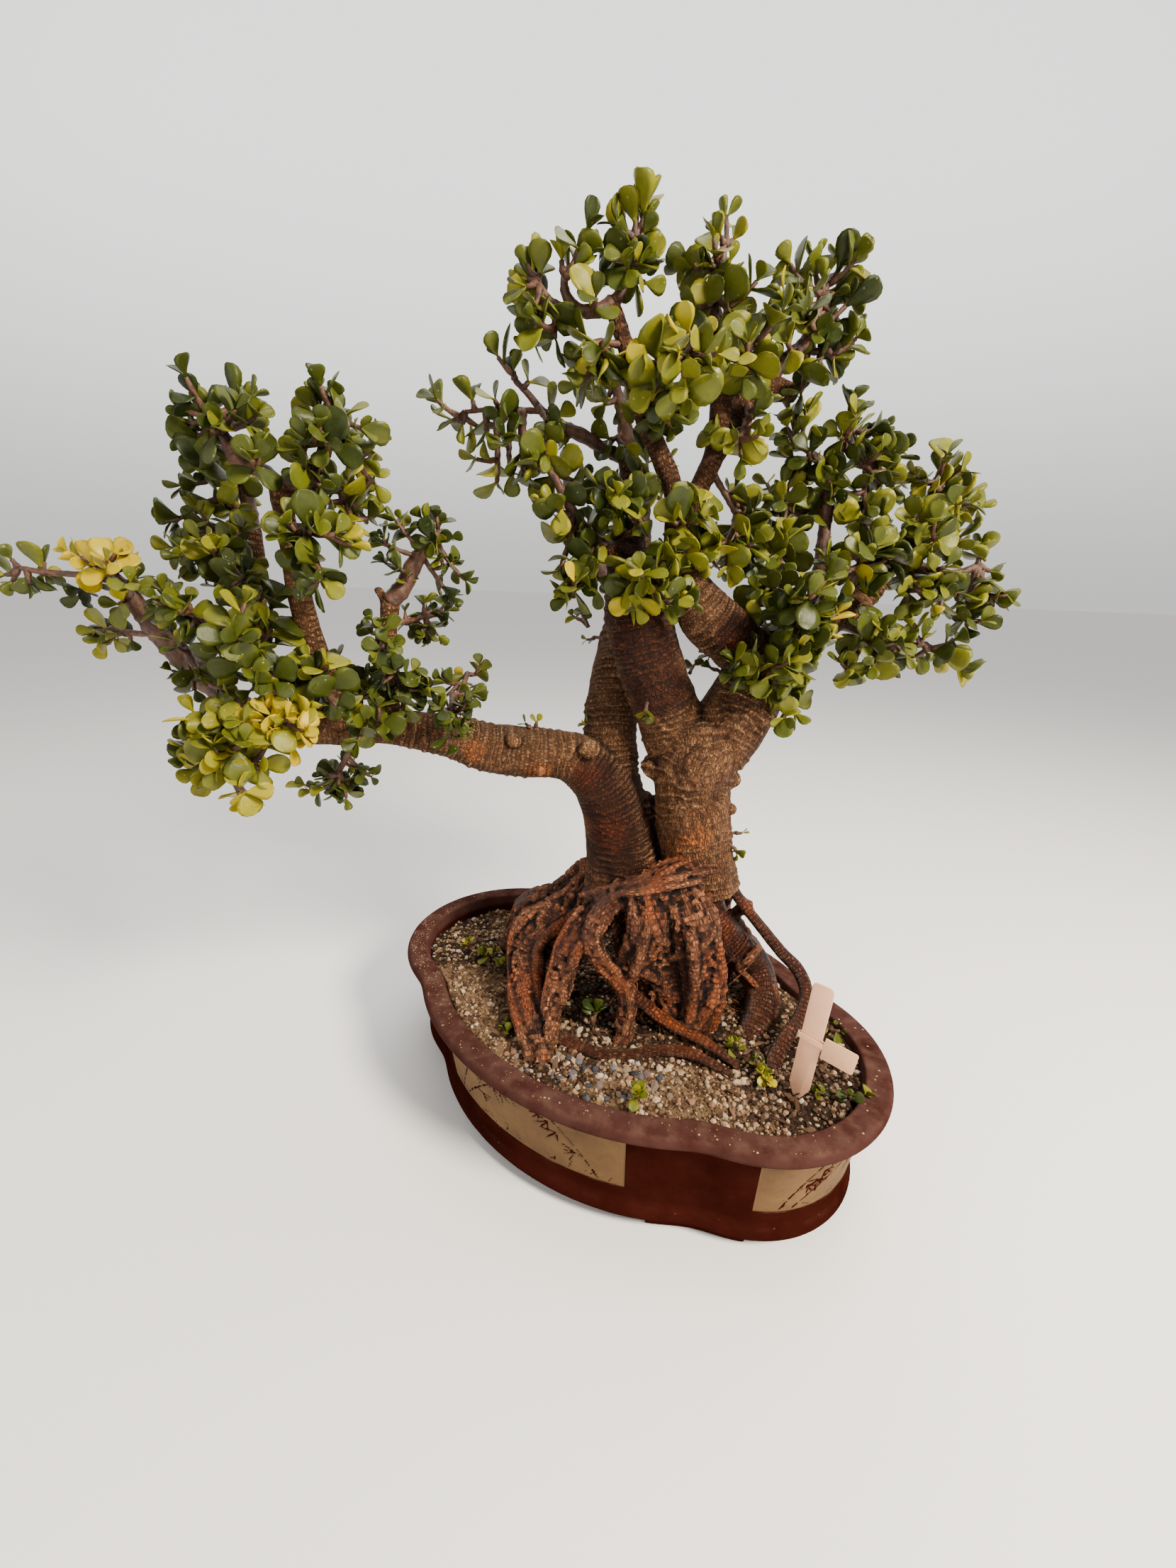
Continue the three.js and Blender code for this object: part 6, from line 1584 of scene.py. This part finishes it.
def grow_bough(stems, tips, tint, scale=1.0, fullness=1.0, bright=0):
    """One branch: its stems with their spurs, and a twig with leaves to each of its tips."""
    lines = [path_through(stem, STEM_STEP) for stem in stems]
    for line in lines:
        run = np.arange(len(line)) * STEM_STEP
        joint = np.abs((run / (0.0045 + line[:, 3] * 0.8)) % 1 - 0.5) * 2
        uneven = random_waves(line[:, :3], 0.006, 41) - 0.5
        line[:, 3] *= 1 + 0.16 * smooth_step(0.6, 1.0, joint) + 0.16 * uneven
        twigs.append(tube(line, 8))
        way = directions(line)
        for at in np.arange(0.016, run[-1], SPUR_STEP / 1000):
            k = int((at + draw.uniform(-0.004, 0.004)) / STEM_STEP)
            if k < len(line) and draw.random() < 0.6 * fullness:
                reach = line[k, 3] + draw.uniform(0.004, 0.009)
                spur(line[k, :3], way[k], reach, varied(tint, -0.04, 0.12), 0.80 * scale)
    middles = np.vstack(lines)
    starts = np.concatenate([np.arange(len(line)) * STEM_STEP < line[0, 3] + 0.003 for line in lines])
    for number, tip in enumerate(tips):
        wanted = on_tree(tip)
        cost = np.linalg.norm(middles[:, :3] - wanted, axis=1) + np.where(starts, 0.06, 0)
        root = middles[(cost + draw.uniform(0, 0.003, len(cost))).argmin(), :3]
        span = np.linalg.norm(wanted - root)
        heading = (wanted - root) / span
        rise = 0.55 * heading + np.array([0, 0, 0.6]) * min(1, span / 0.035)
        end = wanted - rise / np.linalg.norm(rise) * min(LEAF_REACH / 1000 * scale, 0.6 * span)
        reach = max(np.linalg.norm(end - root), 0.003)
        sag = square_to(draw.normal(0, 1, 3), heading) * 0.10 * reach + (0, 0, -0.16 * reach)
        spine = bent_line(root, end, sag, max(4, int(reach / 0.0025)))
        twig(spine, scale)
        own = YELLOW_AND_SUNLIT_TINT if number < bright else varied(tint, 0, 0.10)
        leafy_shoot(spine, 2 + int(1.3 * fullness + 0.8 * draw.random()), own, scale)
        way = directions(spine)
        for _ in range(int(1.3 * fullness + 0.8 * draw.random())):
            k = int(draw.uniform(0.35, 0.95) * (len(spine) - 1))
            reach = draw.uniform(0.009, 0.017) * scale
            spur(spine[k], way[k], reach, varied(own, 0, 0.06), 0.9 * scale)


twig_bark, tree, shader, place = new_material("twig_bark", 0.6)
streak = mottled(place, 260, 0.3, 0.7)
patch = mottled(place, 60, 0.35, 0.7)
body = mixed(streak, (0.014, 0.004, 0.002), (0.078, 0.025, 0.010))
body = mixed(times(patch, streak), body, (0.15, 0.066, 0.028))
finish(shader, body, (streak, 0.0005, 0.8))

LEAF_TINTS = [(0.0, (0.011, 0.018, 0.002)), (0.25, (0.040, 0.050, 0.004)), (0.42, (0.084, 0.094, 0.006)),
              (0.58, (0.165, 0.160, 0.008)), (0.76, (0.31, 0.25, 0.003)), (1.0, (0.44, 0.31, 0.001))]
leaf_green, tree, shader, place = new_material("succulent_leaf", 0.38, Specular_IOR_Level=0.20)
soft = mottled(place, 130, 0.2, 0.8)
foot_glow = mapped(attribute(tree, "along"), 0, 0.35, 0.14, 0)
rim_glow = mapped(attribute(tree, "margin"), 0.6, 1, 0, 0.10)
tint = plus(attribute(tree, "tint"), times(calculated("SUBTRACT", soft, 0.5), 0.16))
ramp = node(tree, "ShaderNodeValToRGB", {"Fac": plus(tint, plus(foot_glow, rim_glow))})
stops = ramp.color_ramp.elements
while len(stops) < len(LEAF_TINTS):
    stops.new(0.5)
for stop, (share, colour) in zip(stops, LEAF_TINTS):
    stop.position = share
    stop.color = (*colour, 1)
bloom = times(mottled(place, 75, 0.5, 0.8), 0.08)
body = mixed(bloom, ramp.outputs["Color"], (0.20, 0.22, 0.09))
body = mixed(times(specked(place, 480, 0.25, 0.05), 0.35), body, (0.40, 0.38, 0.22))
tree.links.new(mapped(soft, 0, 1, 0.30, 0.50), shader.inputs["Roughness"])
finish(shader, body, (mottled(place, 420, 0.2, 0.8), 0.00025, 0.5))


def dress(group, nodes):
    """The stems and leaves of one group as two pieces, kept inside the size of the solids."""
    rows = np.array(leaves)
    lowest, highest = np.array(cad_box[0]) + 0.001, np.array(cad_box[1]) - 0.001
    vertices, faces = joined(twigs)
    stems = new_piece("stems_" + group, np.clip(vertices, lowest, highest), faces, twig_bark)
    bound = [row[:3] + LEAF_BOUND @ np.array(Euler(row[3:6]).to_matrix()).T * row[6] for row in rows]
    rows = rows[((bound > lowest) & (bound < highest)).all((1, 2))]
    kinds = np.random.default_rng(len(rows)).choice(3, len(rows), p=(0.45, 0.35, 0.20))
    foliage = set_out("leaves_" + group, rows[:, :3], rows[:, 3:6], rows[:, 6:9], kinds, leaf_shapes,
                      leaf_green, True, tint=rows[:, 9])
    for piece, slot in ((stems, "bark"), (foliage, "leaves")):
        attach(piece, "root")
        if nodes:
            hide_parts(*nodes)


draw = np.random.default_rng(61)
for group, boughs in CANOPY.items():
    leaves, twigs = [], []
    for name, (stems, tips) in boughs.items():
        tint = BOUGH_TINTS_AND_SUNLIGHT.get(name, GROUP_TINT.get(group, PLAIN_TINT))
        scale = LEAFINESS[group] * SMALL_LEAVED.get(name, 1.0)
        grow_bough(stems, tips, tint, scale, THINNED.get(group, 1.0), YELLOW_AND_SUNLIT_TIPS.get(name, 0))
    dress(group, ["bough_" + name for name in boughs])

# Small shoots break from the old bark of the trunks and the left limb, with leaves half the size.
TRUNK_SHOOTS = [
    (-31, 34, 358, -14, 6, 12), (-31, 34, 358, -6, -8, 16), (72, -10, 222, 12, -4, 6),
    (-64, -14, 292, 2, -4, 12), (-64, -14, 292, -8, -2, 10), (8, -26, 316, -2, -10, -8),
    (-22, 10, 292, -12, -2, 4), (9, 8, 284, 10, -4, 2), (72, -12, 216, 12, -2, -8),
    (62, 2, 330, -14, 8, 12), (56, 2, 340, -12, 2, 10), (40, 16, 330, 6, 12, 10),
    (-20, 36, 350, -16, 10, 2),
]
leaves, twigs = [], []
for u, v, z, *heading in TRUNK_SHOOTS:
    foot_place = np.array((u, v, z))
    end, tip = foot_place + 0.35 * np.array(heading), foot_place + 1.1 * np.array(heading)
    grow_bough([[(*foot_place, 1.3), (*end, 1.1)]], [tip], 0.30, 0.5, 0)
dress("trunk_shoots", [])

# Seedlings and cuttings came up in the soil: a soft stem and a few pairs of leaves.
SEEDLINGS = [(-19, -52, 18, 0.95, 0.22), (8, -116, 13, 0.65, 0.40), (-104, 31, 13, 0.65, 0.42)]
WEEDS = [(-126, 50, 9, 0.5, 0.42), (-89, 20, 8, 0.45, 0.4), (-78, -59, 8, 0.5, 0.42), (77, -68, 9, 0.5, 0.4),
         (88, -82, 8, 0.45, 0.4), (90, -93, 7, 0.4, 0.45), (91, -97, 7, 0.4, 0.7), (120, -106, 8, 0.4, 0.38),
         (140, -108, 9, 0.45, 0.4), (149, -46, 9, 0.5, 0.3), (90, 12, 20, 0.9, 0.2), (-112, 44, 7, 0.4, 0.42)]
leaves, twigs = [], []
for u, v, height, scale, tint in SEEDLINGS + WEEDS:
    x, y, _ = on_tree((u, v, 0))
    ground = float(soil_height(x, y)) * 1000
    tips = [(u + draw.normal(0, 4), v + draw.normal(0, 4), ground + height * 1.35) for _ in range(3)]
    grow_bough([[(u, v, ground - 4, 1.1), (u, v, ground + height * 0.4, 0.9)]], tips, tint, scale, 0)
dress("seedlings", ["seedling_1", "seedling_2", "seedling_3"])
for shape in leaf_shapes:
    bpy.data.objects.remove(shape)

# A grower's label of pinkish plastic is pushed into the soil near the rim: a flat strip with round
# shoulders and a point below. A blank paper price tag is looped round it.
LABEL_WIDTH, LABEL_LENGTH, LABEL_THICK, LABEL_POINT = 12.7, 84, 1.1, 10.5
SHOULDER, POINT_RADIUS = 3, 2.2
BAND_WIDTH, BAND_THICK, BAND_BELOW, BAND_SLOPE, BAND_SLACK = 3.4, 0.5, 38.5, math.radians(3.2), 1.2
FLAG_LENGTH, FLAG_HEIGHT, FLAG_TOP, FLAG_THICK, FLAG_CORNER = 19, 15, 6.9, 0.6, 1.6
RUNNING_GAP = 0.35
LABEL_STAND = (Matrix.Translation((0.1546, -0.0183, 0.168)) @ Matrix.Rotation(math.radians(-1), 4, "X")
               @ Matrix.Rotation(math.radians(3.7), 4, "Y"))


def arc(middle_x, middle_z, radius, start, stop, steps=6):
    turns = np.radians(np.linspace(start, stop, steps))
    return [(middle_x + radius * math.cos(turn), middle_z + radius * math.sin(turn)) for turn in turns]


def flat_sheet(name, contour, low_y, high_y, edge, material, stand):
    """A flat cut-out between two depths, with softened edges."""
    shape = bmesh.new()
    front = [shape.verts.new((x / 1000, low_y / 1000, z / 1000)) for x, z in contour]
    back = [shape.verts.new((x / 1000, high_y / 1000, z / 1000)) for x, z in contour]
    shape.faces.new(front)
    shape.faces.new(back[::-1])
    for i, start in enumerate(front):
        j = (i + 1) % len(front)
        shape.faces.new((front[j], start, back[i], back[j]))
    bmesh.ops.recalc_face_normals(shape, faces=shape.faces)
    bmesh.ops.transform(shape, matrix=stand, verts=shape.verts)
    piece = shaped(name, shape, material)
    soft = piece.modifiers.new("soft_edge", "BEVEL")
    soft.width = edge / 1000
    soft.segments = 3
    soft.limit_method = "ANGLE"
    soft.angle_limit = math.radians(50)
    bake(piece)
    set_smooth(piece, sharp=35)
    return piece


plastic, tree, shader, place = new_material("label_plastic", 0.42)
cloud = mottled(place, 60, 0.3, 0.8)
soiled = mapped(upward(place), 0.100, 0.082, 0, 0.6)
body = mixed(cloud, (0.78, 0.42, 0.25), (0.88, 0.50, 0.31))
body = mixed(times(soiled, mottled(place, 300, 0.4, 0.65)), body, (0.22, 0.13, 0.08))
body = mixed(times(specked(place, 700, 0.3, 0.04), 0.5), body, (0.35, 0.22, 0.15))
finish(shader, body, (cloud, 0.0002, 0.4))
half, foot_z = LABEL_WIDTH / 2, LABEL_POINT - LABEL_LENGTH
contour = [*arc(half - SHOULDER, -SHOULDER, SHOULDER, 0, 90),
           *arc(SHOULDER - half, -SHOULDER, SHOULDER, 90, 180), (-half, foot_z),
           *arc(0, POINT_RADIUS - LABEL_LENGTH, POINT_RADIUS, 205, 335, 7), (half, foot_z)]
label = flat_sheet("plant_label_strip", contour, -LABEL_THICK / 2, LABEL_THICK / 2, 0.3, plastic, LABEL_STAND)
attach(label, "root")
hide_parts("plant_label")

paper, tree, shader, place = new_material("tag_paper", 0.7)
fibre = mottled(place, 700, 0.3, 0.7)
finish(shader, mixed(fibre, (0.82, 0.44, 0.24), (0.90, 0.52, 0.30)), (fibre, 0.00008, 0.7))
inner_x = half + RUNNING_GAP + BAND_SLACK
inner_y = LABEL_THICK / 2 + RUNNING_GAP
hang = LABEL_STAND @ (Matrix.Translation((0, 0, -BAND_BELOW / 1000)) @ Matrix.Rotation(BAND_SLOPE, 4, "Y"))


def loop_section(grow):
    reach_x, reach_y = inner_x + grow, inner_y + grow
    return [(side * (reach_x - reach_y) + reach_y * math.cos(a), reach_y * math.sin(a))
            for side, first in ((1, -90), (-1, 90)) for a in np.radians(np.linspace(first, first + 180, 9))]


rings = []
for grow, z in ((0, -1), (BAND_THICK, -1), (BAND_THICK, 1), (0, 1)):
    rings.append([(x / 1000, y / 1000, z * BAND_WIDTH / 2000) for x, y in loop_section(grow)])
rings = np.array(rings)
count = rings.shape[1]
faces = []
for k in range(4):
    low, high = k * count, (k + 1) % 4 * count
    faces += [(low + i, low + (i + 1) % count, high + (i + 1) % count, high + i) for i in range(count)]
vertices = [tuple(hang @ Vector(place)) for place in rings.reshape(-1, 3)]
band = new_piece("price_tag_band", vertices, faces, paper)
band.data.set_sharp_from_angle(angle=math.radians(40))
top, bottom = FLAG_TOP, FLAG_TOP - FLAG_HEIGHT
round_x = inner_x + FLAG_LENGTH - FLAG_CORNER
edge_x = inner_x - 0.2
contour = [*arc(round_x, top - FLAG_CORNER, FLAG_CORNER, 0, 90), (edge_x, top), (edge_x, bottom),
           *arc(round_x, bottom + FLAG_CORNER, FLAG_CORNER, -90, 0)]
flag = flat_sheet("price_tag_flag", contour, -inner_y - FLAG_THICK + 0.05, -inner_y - 0.05, 0.15, paper, hang)
for piece in (band, flag):
    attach(piece, "root")
    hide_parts("price_tag")
